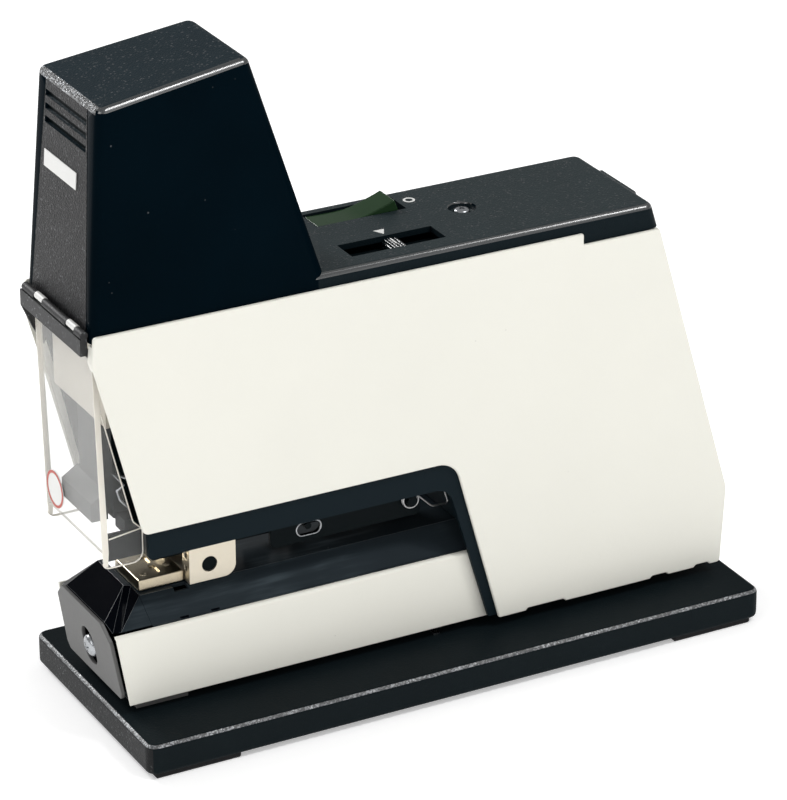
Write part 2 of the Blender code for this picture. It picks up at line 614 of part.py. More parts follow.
def make_magazine(body):
    """Magazine on its pivot, with staples, pusher and springs."""
    inner = MAGAZINE_HALF - 0.8
    cradle_view = rounded([(66, 56.5, 2), (MAGAZINE_REAR, 56.5, 2), (MAGAZINE_REAR, 72, 0), (66, 72, 0)])
    cradle = prism("magazine_cradle", "XZ", cradle_view, -12.4, 12.4, "gloss_black", body)
    cut(cradle, block("cradle_room", (60, 130), (-10.4, 10.4), (50, 71), None, body))
    slot = rounded([(76.2, 58.8, 2.5), (86, 58.8, 2.5), (86, 64.0, 2.5), (76.2, 64.0, 2.5)])
    cut(cradle, prism("cradle_slot", "XZ", slot, -15, 15, None, body))
    bore = circle(*PIVOT, 2.25, 16)
    cut(cradle, prism("cradle_bore", "XZ", bore, -15, 15, None, body))
    pin = prism("magazine_pivot_pin", "XZ", circle(*PIVOT, 2.0, 16), -16.4, 16.4, "bright_steel", body)
    smooth(pin)

    pivot = frame_at("magazine_joint", (PIVOT[0], 0, PIVOT[1]), body)
    front = STAPLE_X - 2.2
    channel = block("magazine_channel", (front, MAGAZINE_REAR), (-MAGAZINE_HALF, MAGAZINE_HALF),
                    (MAGAZINE_BOTTOM, MAGAZINE_TOP), "painted_black", pivot)
    cut(channel, block("channel_room", (front + 1, 135), (-inner, inner), (MAGAZINE_BOTTOM + 0.8, 80), None, pivot))
    cut(channel, block("staple_exit", (front + 1, front + 4.2), (-inner, inner), (50, 65), None, pivot))
    cut(channel, prism("channel_bore", "XZ", bore, -15, 15, None, pivot))
    for side, sign in SIDES:
        stud_y = sorted((sign * (MAGAZINE_HALF - 0.4), sign * 12.2))
        weld(channel, prism("guide_stud_" + side, "XZ", circle(81, 62.1, 1.3, 12), stud_y[0], stud_y[1], None, pivot))
    core_floor = MAGAZINE_BOTTOM + 1.2
    core = block("magazine_core", (front + 5, 110.5), (-4.9, 4.9), (core_floor, 67.9), "bright_steel", pivot)
    cut(core, block("core_room", (front + 6, 109.5), (-4.0, 4.0), (core_floor + 0.8, 80), None, pivot))
    make_staples(front + 3.1, pivot)
    make_pusher(pivot)
    turns = coil_route((PIVOT[0], -15.4, PIVOT[1]), "Y", 2.9, 2.125, 2.1, 16)
    legs = [(129.9, -13.3, 59.3), (130.9, -13.3, 58.8), (136.0, -13.3, 58.6), (136.9, -13.3, 59.3), (134.9, -13.3, 66.1)]
    wire("magazine_lift_spring", [(111.5, -15.4, 66.9)] + turns + legs, 0.35, "bright_steel", body)


def make_staples(start, pivot):
    """Strip of staples astride the core."""
    section = [(-6.2, 61.6), (-6.2, 69.0), (6.2, 69.0), (6.2, 61.6), (5.4, 61.6), (5.4, 68.2), (-5.4, 68.2),
               (-5.4, 61.6)]
    prism("staple_strip", "YZ", section, start, STRIP_END, "bright_steel", pivot)


def make_pusher(pivot):
    """Pusher behind the strip, with its spring inside the core."""
    slide = frame_at("pusher_joint", (STRIP_END + GAP, 0, 68), bpy.data.objects["stapler"])
    section = [(-6.2, 64.6), (-6.2, 69.6), (6.2, 69.6), (6.2, 64.6), (5.4, 64.6), (5.4, 68.2), (3.4, 68.2),
               (3.4, 63.0), (-3.4, 63.0), (-3.4, 68.2), (-5.4, 68.2), (-5.4, 64.6)]
    start = STRIP_END + GAP
    prism("pusher", "YZ", section, start, start + PUSHER_LENGTH, "gloss_black", slide)
    length = 109.5 - start - PUSHER_LENGTH - 1.8
    route = coil_route((start + PUSHER_LENGTH + 0.9, 0, 65.3), "X", 1.9, 9, length, 8)
    wire("pusher_spring", route, 0.45, "bright_steel", pivot, 5)


def make_paper_stop(body):
    """Saddle that slides along the arm and sets how deep the paper goes in."""
    slide = frame_at("paper_stop_joint", (33.3, 0, 51.5), body)
    side_view = rounded([(33.3, 51.1, 0), (51.5, 51.1, 4.5), (51.5, 70.4, 0), (33.3, 70.4, 0)])
    stop = prism("paper_stop", "XZ", side_view, -13.9, 13.9, "nickel_plate", slide)
    cut(stop, block("stop_room", (34.3, 60), (-12.9, 12.9), (52.1, 80), None, slide))
    cut(stop, block("stop_gap", (30, 60), (-8.0, 8.0), (52.1, 80), None, slide))
    cut(stop, prism("stop_hole", "XZ", circle(41.2, 57.5, 2.9, 20), -20, 20, None, slide))


def make_trigger(body):
    """Lever that the paper pushes back to fire the stapler."""
    hinge = frame_at("trigger_joint", (TRIGGER_PIVOT[0], TRIGGER_Y, TRIGGER_PIVOT[1]), body)
    low, high = TRIGGER_Y - 1, TRIGGER_Y + 1
    x, z = TRIGGER_PIVOT
    blade = [(x - 1.2, z), (x - 1.2, 66), (x - 5.5, 59), (x - 5.0, 57.5), (x - 3.6, 57.5), (x + 1.2, 65.5), (x + 1.2, z)]
    lever = prism("trigger_lever", "XZ", blade, low, high, "bright_steel", hinge)
    weld(lever, prism("lever_hub", "XZ", circle(x, z, 2.8, 16), low, high, None, hinge))
    cut(lever, prism("lever_bore", "XZ", circle(x, z, 1.5, 12), low - 2, high + 2, None, hinge))
    pin = prism("trigger_pin", "XZ", circle(x, z, 1.2, 12), low - 1.7, high + 6.5, "bright_steel", body)
    smooth(pin)


def main():
    clear_scene()
    body = frame_at("stapler", (-ORIGIN_X, 0, FOOT_DROP))
    make_base(body)
    make_chassis(body)
    make_covers(body)
    make_top_cover(body)
    make_switch(body)
    make_slider(body)
    make_rear(body)
    make_electronics(body)
    make_solenoid(body)
    make_head(body)
    make_arm(body)
    make_guard(body)
    make_magazine(body)
    make_paper_stop(body)
    make_trigger(body)


main()
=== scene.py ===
import math

import bmesh
import bpy
from mathutils import Matrix, Vector


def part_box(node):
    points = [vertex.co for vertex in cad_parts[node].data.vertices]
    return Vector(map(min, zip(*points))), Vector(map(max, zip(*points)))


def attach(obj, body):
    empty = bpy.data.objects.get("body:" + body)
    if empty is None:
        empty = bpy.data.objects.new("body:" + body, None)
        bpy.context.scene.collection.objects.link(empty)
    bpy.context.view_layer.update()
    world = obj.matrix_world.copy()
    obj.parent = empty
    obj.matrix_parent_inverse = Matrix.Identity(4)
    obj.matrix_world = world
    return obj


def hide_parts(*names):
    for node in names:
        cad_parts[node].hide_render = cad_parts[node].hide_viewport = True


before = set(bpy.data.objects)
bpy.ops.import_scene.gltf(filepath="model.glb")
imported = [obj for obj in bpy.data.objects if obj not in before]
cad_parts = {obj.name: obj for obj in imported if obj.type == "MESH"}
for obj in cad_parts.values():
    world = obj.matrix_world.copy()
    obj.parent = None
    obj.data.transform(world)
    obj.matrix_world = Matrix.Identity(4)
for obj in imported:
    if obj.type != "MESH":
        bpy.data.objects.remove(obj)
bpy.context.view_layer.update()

MM = 0.001
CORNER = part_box("base_plate")[0]
SIDES = (("right", -1), ("left", 1))

# Body
COVER_HALF = 29.0
SHEET = 1.0
BODY_BOTTOM = 15.5
BODY_TOP = 160.2
THROAT_TOP = 82.7
REAR_FLANGE_HALF = 17.0
DECK_HALF = 27.6
DECK_TOP = 165.5
DECK_FOOT = 156.05
DECK_REAR = 212.6
TOP_COVER_BOTTOM = 157.0
TOP_WALL = 2.2
TOWER_FRONT_FOOT = -6.7
TOWER_REAR_FOOT = 84.0
TOWER_SLOPE = 0.075            # how far the tower's front leans back, per millimetre of height
TOWER_TOP = ((-0.5, 25.1, 239.7), (57.2, 23.0, 246.9))   # front and rear top edges: x, half width, z

# Arm, guard and controls
ARM_HALF = 25.0
ARM_TOP = 43.5
ARM_REAR = 149.6
HOOD_HALF = 22.3
RIDGE_HALF = 12.0
RIDGE_TOP = 50.7
NOSE_TOP = 55.6
ANVIL_TOP = 55.4
STAPLE_X = 24.1
GUARD_AXIS = (-8.3, 160.5)
SHIELD_HALF = 23.6
PIVOT = (121.0, 64.0)
ROCKER_PIVOT = (115.4, 161.1)
ROCKER_Y = 16.8
KNOB_X = 116.0
KNOB_Y = -13.2


def in_frame(x, y, z):
    """A stapler-frame point in millimetres as a row-frame point in metres."""
    return Vector((CORNER.x + x * MM, y * MM, CORNER.z + z * MM))


# ---- finishes

class Value:
    """A socket that takes part in arithmetic."""

    def __init__(self, tree, socket):
        self.tree = tree
        self.socket = socket

    def maths(self, operation, first, second=0.0, third=0.0):
        node = self.tree.nodes.new("ShaderNodeMath")
        node.operation = operation
        for index, given in enumerate((first, second, third)):
            if isinstance(given, Value):
                self.tree.links.new(given.socket, node.inputs[index])
            else:
                node.inputs[index].default_value = given
        return Value(self.tree, node.outputs[0])

    def __add__(self, other):
        return self.maths("ADD", self, other)

    def __radd__(self, other):
        return self.maths("ADD", other, self)

    def __sub__(self, other):
        return self.maths("SUBTRACT", self, other)

    def __rsub__(self, other):
        return self.maths("SUBTRACT", other, self)

    def __mul__(self, other):
        return self.maths("MULTIPLY", self, other)

    def __rmul__(self, other):
        return self.maths("MULTIPLY", other, self)

    def __truediv__(self, other):
        return self.maths("DIVIDE", self, other)

    def __abs__(self):
        return self.maths("ABSOLUTE", self)

    def __pow__(self, other):
        return self.maths("POWER", self, other)

    def least(self, other):
        return self.maths("MINIMUM", self, other)

    def most(self, other):
        return self.maths("MAXIMUM", self, other)

    def step(self, low, high):
        """0 below low, 1 above high, and smooth between."""
        ramp = (self - low) * (1.0 / (high - low))
        ramp = ramp.least(1.0).most(0.0)
        return ramp * ramp * (3.0 - 2.0 * ramp)


class Finish:
    """A material and the nodes behind it."""

    def __init__(self, name, **constants):
        self.name = name
        self.material = bpy.data.materials.new(name)
        self.material.use_nodes = True
        self.tree = self.material.node_tree
        self.shader = self.tree.nodes["Principled BSDF"]
        for socket, value in constants.items():
            self.shader.inputs[socket.replace("_", " ")].default_value = value
        place = self.node("ShaderNodeTexCoord", take="Object")
        self.place = place

    def node(self, kind, settings=None, sockets=None, take=0):
        """Add a node: its settings first, then its sockets' values or links."""
        made = self.tree.nodes.new(kind)
        for name, value in (settings or {}).items():
            if name == "stops":
                ramp = made.color_ramp
                while len(ramp.elements) < len(value):
                    ramp.elements.new(0.5)
                for element, (position, colour) in zip(ramp.elements, value):
                    element.position = position
                    element.color = colour
            else:
                setattr(made, name, value)
        for name, value in (sockets or {}).items():
            if isinstance(value, Value):
                self.tree.links.new(value.socket, made.inputs[name])
            else:
                made.inputs[name].default_value = value
        return Value(self.tree, made.outputs[take])

    def noise(self, size, detail=2.0, rough=0.5, place=None):
        """Soft noise whose lumps are about size millimetres across, from 0 to 1."""
        return self.node("ShaderNodeTexNoise", sockets={
            "Vector": place or self.place, "Scale": 1.0 / (size * MM), "Detail": detail, "Roughness": rough})

    def cells(self, size, take="Distance", feature="F1"):
        """Distance to the nearest cell centre, for cells size millimetres across."""
        return self.node("ShaderNodeTexVoronoi", {"feature": feature},
                         {"Vector": self.place, "Scale": 1.0 / (size * MM)}, take)

    def stretched(self, x, y, z):
        """The place with each axis scaled, for brushed or streaky looks."""
        return self.node("ShaderNodeMapping", sockets={"Vector": self.place, "Scale": (x, y, z)})

    def axis(self, name):
        """One axis of the place, in stapler-frame millimetres."""
        part = self.node("ShaderNodeSeparateXYZ", sockets={"Vector": self.place}, take=name)
        low = {"X": CORNER.x, "Y": 0.0, "Z": CORNER.z}[name]
        return (part - low) * (1.0 / MM)

    def blend(self, factor, first, second):
        """A colour that goes from first to second with factor."""
        mix = self.tree.nodes.new("ShaderNodeMix")
        mix.data_type = "RGBA"
        for socket, value in ((mix.inputs[0], factor), (mix.inputs[6], first), (mix.inputs[7], second)):
            if isinstance(value, Value):
                self.tree.links.new(value.socket, socket)
            elif socket == mix.inputs[0]:
                socket.default_value = value
            else:
                socket.default_value = (*value[:3], 1.0)
        return Value(self.tree, mix.outputs[2])

    def bump(self, height, depth, strength=1.0, under=None):
        """Bump from a 0 to 1 height, depth millimetres deep."""
        sockets = {"Height": height, "Distance": depth * MM, "Strength": strength}
        if under is not None:
            sockets["Normal"] = under
        return self.node("ShaderNodeBump", sockets=sockets)

    def feed(self, **sockets):
        """Link values to the shader's own sockets."""
        for name, value in sockets.items():
            self.tree.links.new(value.socket, self.shader.inputs[name.replace("_", " ")])
        return self


def moulded_black(name, colour, specular=0.5, grain=0.85, depth=0.09, rough=0.5, glints=0.0, glow=0.12):
    """Black moulding with a leather grain and small glints of uneven brightness, which are painted highlights
    in its base colour.
    """
    finish = Finish(name, Specular_IOR_Level=specular)
    lumps = finish.cells(grain)
    fine = finish.noise(grain * 0.55, 3.0, 0.6)
    wide = finish.noise(22.0, 2.0)
    height = lumps * 0.7 + fine * 0.6
    base = finish.blend(wide * 0.6 + fine * 0.4, [c * 0.75 for c in colour], [c * 1.25 for c in colour])
    painted_glints = fine * 0.0
    if glints:
        # Painted highlight: a share of small grain cells is lightened in the base colour to stand in for
        # glints of light.
        spark = finish.cells(0.55, "Color")
        chance = finish.node("ShaderNodeSeparateColor", sockets={"Color": spark}, take=0)
        patch = finish.noise(6.0, 2.0).step(0.35, 0.65)
        painted_glints = chance.step(1.0 - glints, 1.0) * (0.35 + patch * 0.65)
        base = finish.blend(painted_glints, base, (glow, glow * 1.05, glow * 1.1))
    finish.feed(Base_Color=base, Roughness=(rough - 0.08) + fine * 0.16 + wide * 0.06 - painted_glints * 0.2,
                Normal=finish.bump(height, depth))
    return finish


def glossy_black(name, colour, specular=0.2, rough=0.12, reflection_streaks=0.0, ior=1.5):
    """Smooth black surface with faint waves, dust specks and hairline scratches; its optional lighter streaks
    are a painted reflection.
    """
    finish = Finish(name, Specular_IOR_Level=specular, IOR=ior)
    waves = finish.noise(34.0, 2.0)
    dust = finish.cells(9.0)
    specks = 1.0 - dust.step(0.02, 0.05)
    lines = finish.noise(5.0, 3.0, 0.6, finish.stretched(0.12, 1.0, 1.0))
    base = finish.blend(waves, [c * 0.75 for c in colour], [c * 1.3 for c in colour])
    # Painted reflection: lighter streaks in the base colour stand in for soft reflections on a glossy slope.
    if reflection_streaks:
        bright = lines.step(0.42, 0.75) * waves.step(0.35, 0.65)
        base = finish.blend(bright * reflection_streaks, base, (0.08, 0.105, 0.12))
    base = finish.blend(specks * 0.25, base, (0.25, 0.26, 0.27))
    finish.feed(Base_Color=base, Roughness=rough + waves * 0.06 + lines * 0.05 + specks * 0.3,
                Normal=finish.bump(waves * 0.7 + lines * 0.3, 0.05, 0.6))
    return finish


def enamel(name, colour, specular=0.4, rough=0.33, peel=0.02):
    """Sprayed enamel on sheet steel with a fine orange peel and a few specks."""
    finish = Finish(name, Specular_IOR_Level=specular)
    peels = finish.noise(1.6, 2.0)
    cloud = finish.noise(48.0, 3.0)
    specks = 1.0 - finish.cells(14.0).step(0.012, 0.03)
    base = finish.blend(cloud, [c * 0.975 for c in colour], [min(1.0, c * 1.02) for c in colour])
    base = finish.blend(specks * 0.35, base, [c * 0.6 for c in colour])
    finish.feed(Base_Color=base, Roughness=rough + cloud * 0.08 + peels * 0.05,
                Normal=finish.bump(peels, peel))
    return finish


def steel(name, colour, rough=0.28, along=(1.0, 1.0, 0.06), stain=0.25):
    """Metal with a brushed grain and slight tarnish."""
    finish = Finish(name, Metallic=1.0)
    brushed = finish.noise(0.35, 3.0, 0.6, finish.stretched(*along))
    tarnish = finish.noise(5.0, 4.0, 0.6)
    base = finish.blend(brushed * 0.5 + tarnish * 0.5, [c * (1.0 - stain) for c in colour], colour)
    finish.feed(Base_Color=base, Roughness=rough - 0.08 + brushed * 0.18 + tarnish * 0.08,
                Normal=finish.bump(brushed, 0.012))
    return finish


def plain_plastic(name, colour, rough=0.45, specular=0.5, grain=1.2):
    """Plain moulding with a faint mottled grain."""
    finish = Finish(name, Specular_IOR_Level=specular)
    fine = finish.noise(grain, 3.0)
    cloud = finish.noise(18.0, 2.0)
    dark, pale = [c * 0.88 for c in colour], [min(1.0, c * 1.06) for c in colour]
    base = finish.blend(cloud * 0.6 + fine * 0.4, dark, pale)
    finish.feed(Base_Color=base, Roughness=rough - 0.05 + fine * 0.12, Normal=finish.bump(fine, 0.02))
    return finish


def clear_acrylic(name, colour, haze_and_painted_light):
    """Clear acrylic: nearly see-through, faintly hazy and finely scratched; where it is made more opaque, the
    whiteness is painted light.
    """
    finish = Finish(name, Specular_IOR_Level=0.5)
    cloud = finish.noise(26.0, 3.0)
    hair = finish.noise(1.4, 2.0, 0.5, finish.stretched(1.0, 1.0, 0.08)).step(0.60, 0.72)
    base = finish.blend(cloud, [c * 0.97 for c in colour], colour)
    finish.feed(Base_Color=base, Roughness=0.06 + cloud * 0.06 + hair * 0.1,
                Alpha=haze_and_painted_light * (0.85 + cloud * 0.3) + hair * 0.03, Normal=finish.bump(cloud, 0.05, 0.4))
    return finish


def make_finishes():
    """Every finish, by the name that the pieces use."""
    made = [
        # The last two numbers of a grained finish set the share and lightness of its painted glints, which
        # are painted highlights.
        moulded_black("tower_grain", (0.0085, 0.0085, 0.0095), 0.14, 0.8, 0.22, 0.38, 0.10, 0.10),
        moulded_black("roof_grain", (0.0075, 0.017, 0.023), 0.09, 0.7, 0.12, 0.42, 0.08, 0.09),
        moulded_black("deck_grain", (0.014, 0.024, 0.027), 0.22, 0.7, 0.16, 0.46, 0.12, 0.055),
        # Painted shade: a darker copy of the deck grain for the upright faces round the deck.
        moulded_black("flank_painted_shade", (0.005, 0.010, 0.013), 0.05, 0.7, 0.12, 0.48),
        moulded_black("base_grain", (0.0055, 0.0095, 0.0115), 0.05, 0.6, 0.07, 0.5, 0.0),
        # Painted highlight: the base grain with painted glints, for the lit front faces.
        moulded_black("base_front_glint_paint", (0.008, 0.009, 0.010), 0.14, 0.6, 0.14, 0.42, 0.06, 0.08),
        # Painted highlight: a lighter grain with dense painted glints for the base's lit top edges.
        moulded_black("base_edge_painted_sparkle", (0.040, 0.042, 0.045), 0.9, 0.5, 0.16, 0.32, 0.65, 0.50),
        # Painted highlight: dense, bright painted glints for the roof's front lip.
        moulded_black("roof_lip_painted_sparkle", (0.012, 0.013, 0.014), 0.9, 0.55, 0.30, 0.24, 0.50, 0.60),
        moulded_black("bracket_grain", (0.014, 0.014, 0.015), 0.40, 0.9, 0.10, 0.5, 0.06),
        glossy_black("tower_gloss", (0.0006, 0.0040, 0.0070), 0.008, 0.14),
        glossy_black("edge_gloss", (0.006, 0.010, 0.012), 1.0, 0.20, ior=1.8),
        # Painted reflection: the hood's slope gets a lighter base colour and lighter streaks.
        glossy_black("hood_painted_reflection", (0.022, 0.030, 0.036), 0.12, 0.16, 0.6),
        glossy_black("nose_gloss", (0.0014, 0.002, 0.0035), 0.015, 0.10),
        # Painted highlight: light grey for the hood's narrow lit edges.
        glossy_black("painted_edge_highlight", (0.13, 0.14, 0.15), 0.9, 0.25),
        glossy_black("inner_black", (0.0030, 0.0060, 0.0072), 0.05, 0.35),
        enamel("skirt_black", (0.0065, 0.0125, 0.0165), 0.05, 0.38),
        enamel("cover_white", (0.84, 0.83, 0.755), 0.4, 0.36),
        enamel("front_grey", (0.105, 0.105, 0.103), 0.4, 0.40, 0.03),
        plain_plastic("beige", (0.62, 0.58, 0.50)),
        plain_plastic("pin_white", (0.82, 0.82, 0.80), 0.4),
        plain_plastic("mark_white", (0.80, 0.80, 0.78), 0.5, 0.3),
        plain_plastic("ring_red", (0.50, 0.07, 0.045), 0.4),
        plain_plastic("coil_bobbin", (0.75, 0.74, 0.70), 0.5),
        plain_plastic("rubber", (0.012, 0.012, 0.013), 0.8, 0.2),
        plain_plastic("board_green", (0.03, 0.16, 0.06), 0.5),
        steel("bright_steel", (0.66, 0.66, 0.66)),
        steel("screw_zinc", (0.52, 0.54, 0.56), 0.22, (1.0, 1.0, 1.0), 0.4),
        steel("nickel", (0.80, 0.735, 0.61), 0.36, (0.2, 1.0, 1.0), 0.12),
        steel("anvil_gold", (0.80, 0.70, 0.52), 0.26, (1.0, 0.15, 1.0), 0.5),
        steel("copper", (0.62, 0.28, 0.12), 0.35, (1.0, 1.0, 4.0), 0.3),
        # Painted reflection: a whiter, less clear finish for the shield's front faces.
        clear_acrylic("guard_front_painted_reflection", (0.90, 0.90, 0.88), 0.20),
        clear_acrylic("guard_side", (0.85, 0.85, 0.84), 0.05),
        # Painted glow: an almost opaque cream for the clear shield's edges.
        clear_acrylic("guard_edge_painted_glow", (0.93, 0.89, 0.80), 0.80),
        rocker_green(),
    ]
    return {finish.name: finish.material for finish in made}


def rocker_green():
    """Dark green see-through plastic, with painted light making it lighter towards its top."""
    finish = Finish("rocker_green", Specular_IOR_Level=0.15)
    cloud = finish.noise(6.0, 3.0)
    # Painted light: the upper part of the rocker is made lighter.
    upper_painted_light = finish.axis("Z").step(157.0, 167.0)
    base = finish.blend(upper_painted_light * 0.7 + cloud * 0.3, (0.005, 0.018, 0.006), (0.020, 0.050, 0.020))
    finish.feed(Base_Color=base, Roughness=0.12 + cloud * 0.1, Normal=finish.bump(cloud, 0.03))
    return finish


# ---- shapes

def solid(name, shape):
    """Turn a bmesh in stapler-frame millimetres into an object at the origin."""
    bmesh.ops.recalc_face_normals(shape, faces=shape.faces)
    mesh = bpy.data.meshes.new(name)
    shape.to_mesh(mesh)
    shape.free()
    mesh.transform(Matrix.Translation(CORNER - Vector((0, CORNER.y, 0))) @ Matrix.Scale(MM, 4))
    piece = bpy.data.objects.new(name, mesh)
    bpy.context.scene.collection.objects.link(piece)
    return piece


def rounded(corners, steps=8):
    """Return an outline whose corners (a, b, radius) are filleted with arcs."""
    outline = []
    for index, (a, b, radius) in enumerate(corners):
        here = Vector((a, b))
        if radius == 0:
            outline.append(here)
            continue
        before = (Vector(corners[index - 1][:2]) - here).normalized()
        after = (Vector(corners[(index + 1) % len(corners)][:2]) - here).normalized()
        half = before.angle(after) / 2
        centre = here + (before + after).normalized() * radius / math.sin(half)
        start = here + before * radius / math.tan(half) - centre
        end = here + after * radius / math.tan(half) - centre
        sweep = math.atan2(start.cross(end), start.dot(end))
        for step in range(steps + 1):
            outline.append(centre + Matrix.Rotation(sweep * step / steps, 2) @ start)
    return outline


def prism(name, plane, outline, low, high):
    """Extrude an outline drawn in the XZ, XY or YZ plane along the third axis."""
    place = {"XZ": lambda a, b, c: (a, c, b),
             "XY": lambda a, b, c: (a, b, c),
             "YZ": lambda a, b, c: (c, a, b)}[plane]
    shape = bmesh.new()
    ends = []
    for level in (low, high):
        ends.append([shape.verts.new(place(a, b, level)) for a, b in outline])
        shape.faces.new(ends[-1])
    for index in range(len(outline)):
        near = index - 1
        shape.faces.new((ends[0][near], ends[0][index], ends[1][index], ends[1][near]))
    return solid(name, shape)


def block(name, x, y, z):
    """A box-shaped guide or part of a piece, from its X, Y and Z ranges."""
    outline = [(x[0], y[0]), (x[1], y[0]), (x[1], y[1]), (x[0], y[1])]
    return prism(name, "XY", outline, z[0], z[1])


def circle(a, b, radius, sides=40):
    """Return a polygon standing for a circle."""
    turn = 2 * math.pi / sides
    return [(a + radius * math.cos(step * turn), b + radius * math.sin(step * turn)) for step in range(sides)]


def hull(name, points):
    """The convex solid around some points."""
    shape = bmesh.new()
    for point in points:
        shape.verts.new(point)
    result = bmesh.ops.convex_hull(shape, input=shape.verts)
    loose = [item for item in result["geom_interior"] if isinstance(item, bmesh.types.BMVert)]
    bmesh.ops.delete(shape, geom=loose, context="VERTS")
    bmesh.ops.dissolve_limit(shape, angle_limit=0.002, verts=shape.verts, edges=shape.edges)
    return solid(name, shape)


def turned(name, profile, centre=(0, 0), sides=40):
    """Turn a closed (radius, height) profile about a vertical axis."""
    shape = bmesh.new()
    turn = 2 * math.pi / sides
    rings = []
    for step in range(sides):
        across = (math.cos(step * turn), math.sin(step * turn))
        rings.append([shape.verts.new((centre[0] + radius * across[0],
                                       centre[1] + radius * across[1], height))
                      for radius, height in profile])
    for step in range(sides):
        here, there = rings[step - 1], rings[step]
        for index in range(len(profile)):
            shape.faces.new((here[index - 1], here[index], there[index], there[index - 1]))
    return solid(name, shape)


def wire(name, route, radius, sides=10, closed=False):
    """Sweep a round wire along a route of points."""
    points = [Vector(point) for point in route]
    count = len(points)
    shape = bmesh.new()
    rings = []
    across = None
    for index, point in enumerate(points):
        if closed:
            ahead = points[(index + 1) % count] - points[index - 1]
        else:
            ahead = points[min(index + 1, count - 1)] - points[max(index - 1, 0)]
        ahead.normalize()
        across = ahead.orthogonal() if across is None else across - ahead * across.dot(ahead)
        across.normalize()
        upward = ahead.cross(across)
        ring = []
        for side in range(sides):
            angle = 2 * math.pi * side / sides
            spoke = across * math.cos(angle) + upward * math.sin(angle)
            ring.append(shape.verts.new(point + spoke * radius))
        rings.append(ring)
    if closed:
        rings.append(rings[0])
    else:
        shape.faces.new(rings[0])
        shape.faces.new(rings[-1])
    for here, there in zip(rings, rings[1:]):
        for side in range(sides):
            shape.faces.new((here[side - 1], here[side], there[side], there[side - 1]))
    return solid(name, shape)


def coil_route(start, along, radius, turns, length, steps=20):
    """Return the points of a helix about the X, Y or Z axis through start."""
    axis = "XYZ".index(along)
    route = []
    for step in range(int(turns * steps) + 1):
        angle = 2 * math.pi * step / steps
        offset = [0.0, 0.0, 0.0]
        offset[axis] = length * step / (turns * steps)
        offset[axis - 2] = radius * math.cos(angle)
        offset[axis - 1] = radius * math.sin(angle)
        route.append(Vector(start) + Vector(offset))
    return route


def settle(piece):
    """Make the modifiers part of the mesh."""
    depsgraph = bpy.context.evaluated_depsgraph_get()
    mesh = bpy.data.meshes.new_from_object(piece.evaluated_get(depsgraph))
    piece.modifiers.clear()
    piece.data = mesh
    return piece


def combine(piece, others, operation):
    """Cut or join a piece with shapes that are then thrown away."""
    for other in others:
        step = piece.modifiers.new(other.name, "BOOLEAN")
        step.operation = operation
        step.object = other
    settle(piece)
    for other in others:
        bpy.data.objects.remove(other, do_unlink=True)
    return piece


def cut(piece, *others):
    return combine(piece, others, "DIFFERENCE")


def weld(piece, *others):
    return combine(piece, others, "UNION")


def round_edges(piece, width, segments=3, angle=35):
    """Round the sharp edges of a piece and shade it smoothly between them."""
    bevel = piece.modifiers.new("rounding", "BEVEL")
    bevel.width = width * MM
    bevel.segments = segments
    bevel.limit_method = "ANGLE"
    bevel.angle_limit = math.radians(angle)
    return shade(settle(piece))


def shade(piece, angle=40):
    """Smooth shading that keeps flat faces flat and sharp edges sharp."""
    piece.data.shade_smooth()
    piece.data.set_sharp_from_angle(angle=math.radians(angle))
    weigh = piece.modifiers.new("weighing", "WEIGHTED_NORMAL")
    weigh.keep_sharp = True
    weigh.weight = 80
    return settle(piece)


def dress(piece, finish, body="root", nodes=()):
    """Give a piece its finish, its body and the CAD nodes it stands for."""
    piece.data.materials.clear()
    piece.data.materials.append(FINISHES[finish])
    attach(piece, body)
    if nodes:
        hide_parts(*nodes)
    return piece


def paint_faces(piece, finish, wanted, largest=1e9):
    """Give another finish to the faces, up to a size in mm2, for which wanted(centre, normal) holds."""
    piece.data.materials.append(FINISHES[finish])
    index = len(piece.data.materials) - 1
    for face in piece.data.polygons:
        centre = (face.center - CORNER) / MM
        centre.y = face.center.y / MM
        if face.area / MM ** 2 < largest and wanted(centre, face.normal):
            face.material_index = index


def arm_front(z, ahead=0.0):
    """Return X of the arm's leaning front plane at a height."""
    return 2.3 - (z - BODY_BOTTOM) * 0.167 - ahead


# ---- pieces

def make_base():
    """Thick moulded base plate."""
    half = 49.0
    plan = rounded([(0, -half, 4), (250, -half, 4), (250, half, 4), (0, half, 4)], 10)
    plate = prism("base_shell", "XY", plan, 0, 11.7)
    round_edges(plate, 1.7, 4, 60)
    pockets = []
    for end, x in (("front", 2.9), ("rear", 213.4)):
        for side, sign in SIDES:
            y = sorted((sign * 48.1, sign * 29.5))
            pockets.append(block("pocket_" + end + side, (x - 0.3, x + 33.3), y, (-1, 1.0)))
    shade(cut(plate, *pockets))
    dress(plate, "base_grain", nodes=["base_plate"])
    # Painted highlight: the front faces get a copy of the base grain with painted glints.
    paint_faces(plate, "base_front_glint_paint", lambda centre, normal: normal.x < -0.6 and normal.z < 0.3)
    # Painted highlight: the rounded top edges get a lighter grain with dense painted glints.
    paint_faces(plate, "base_edge_painted_sparkle", lambda centre, normal: 0.25 < normal.z < 0.97 and normal.y < 0.3)
    clip = rounded([(126, -23, 0.6), (128.6, -23, 0.6), (128.6, -19.4, 0.6), (126, -19.4, 0.6)], 4)
    dress(prism("cable_clip", "XY", clip, 11.6, 12.3), "screw_zinc")


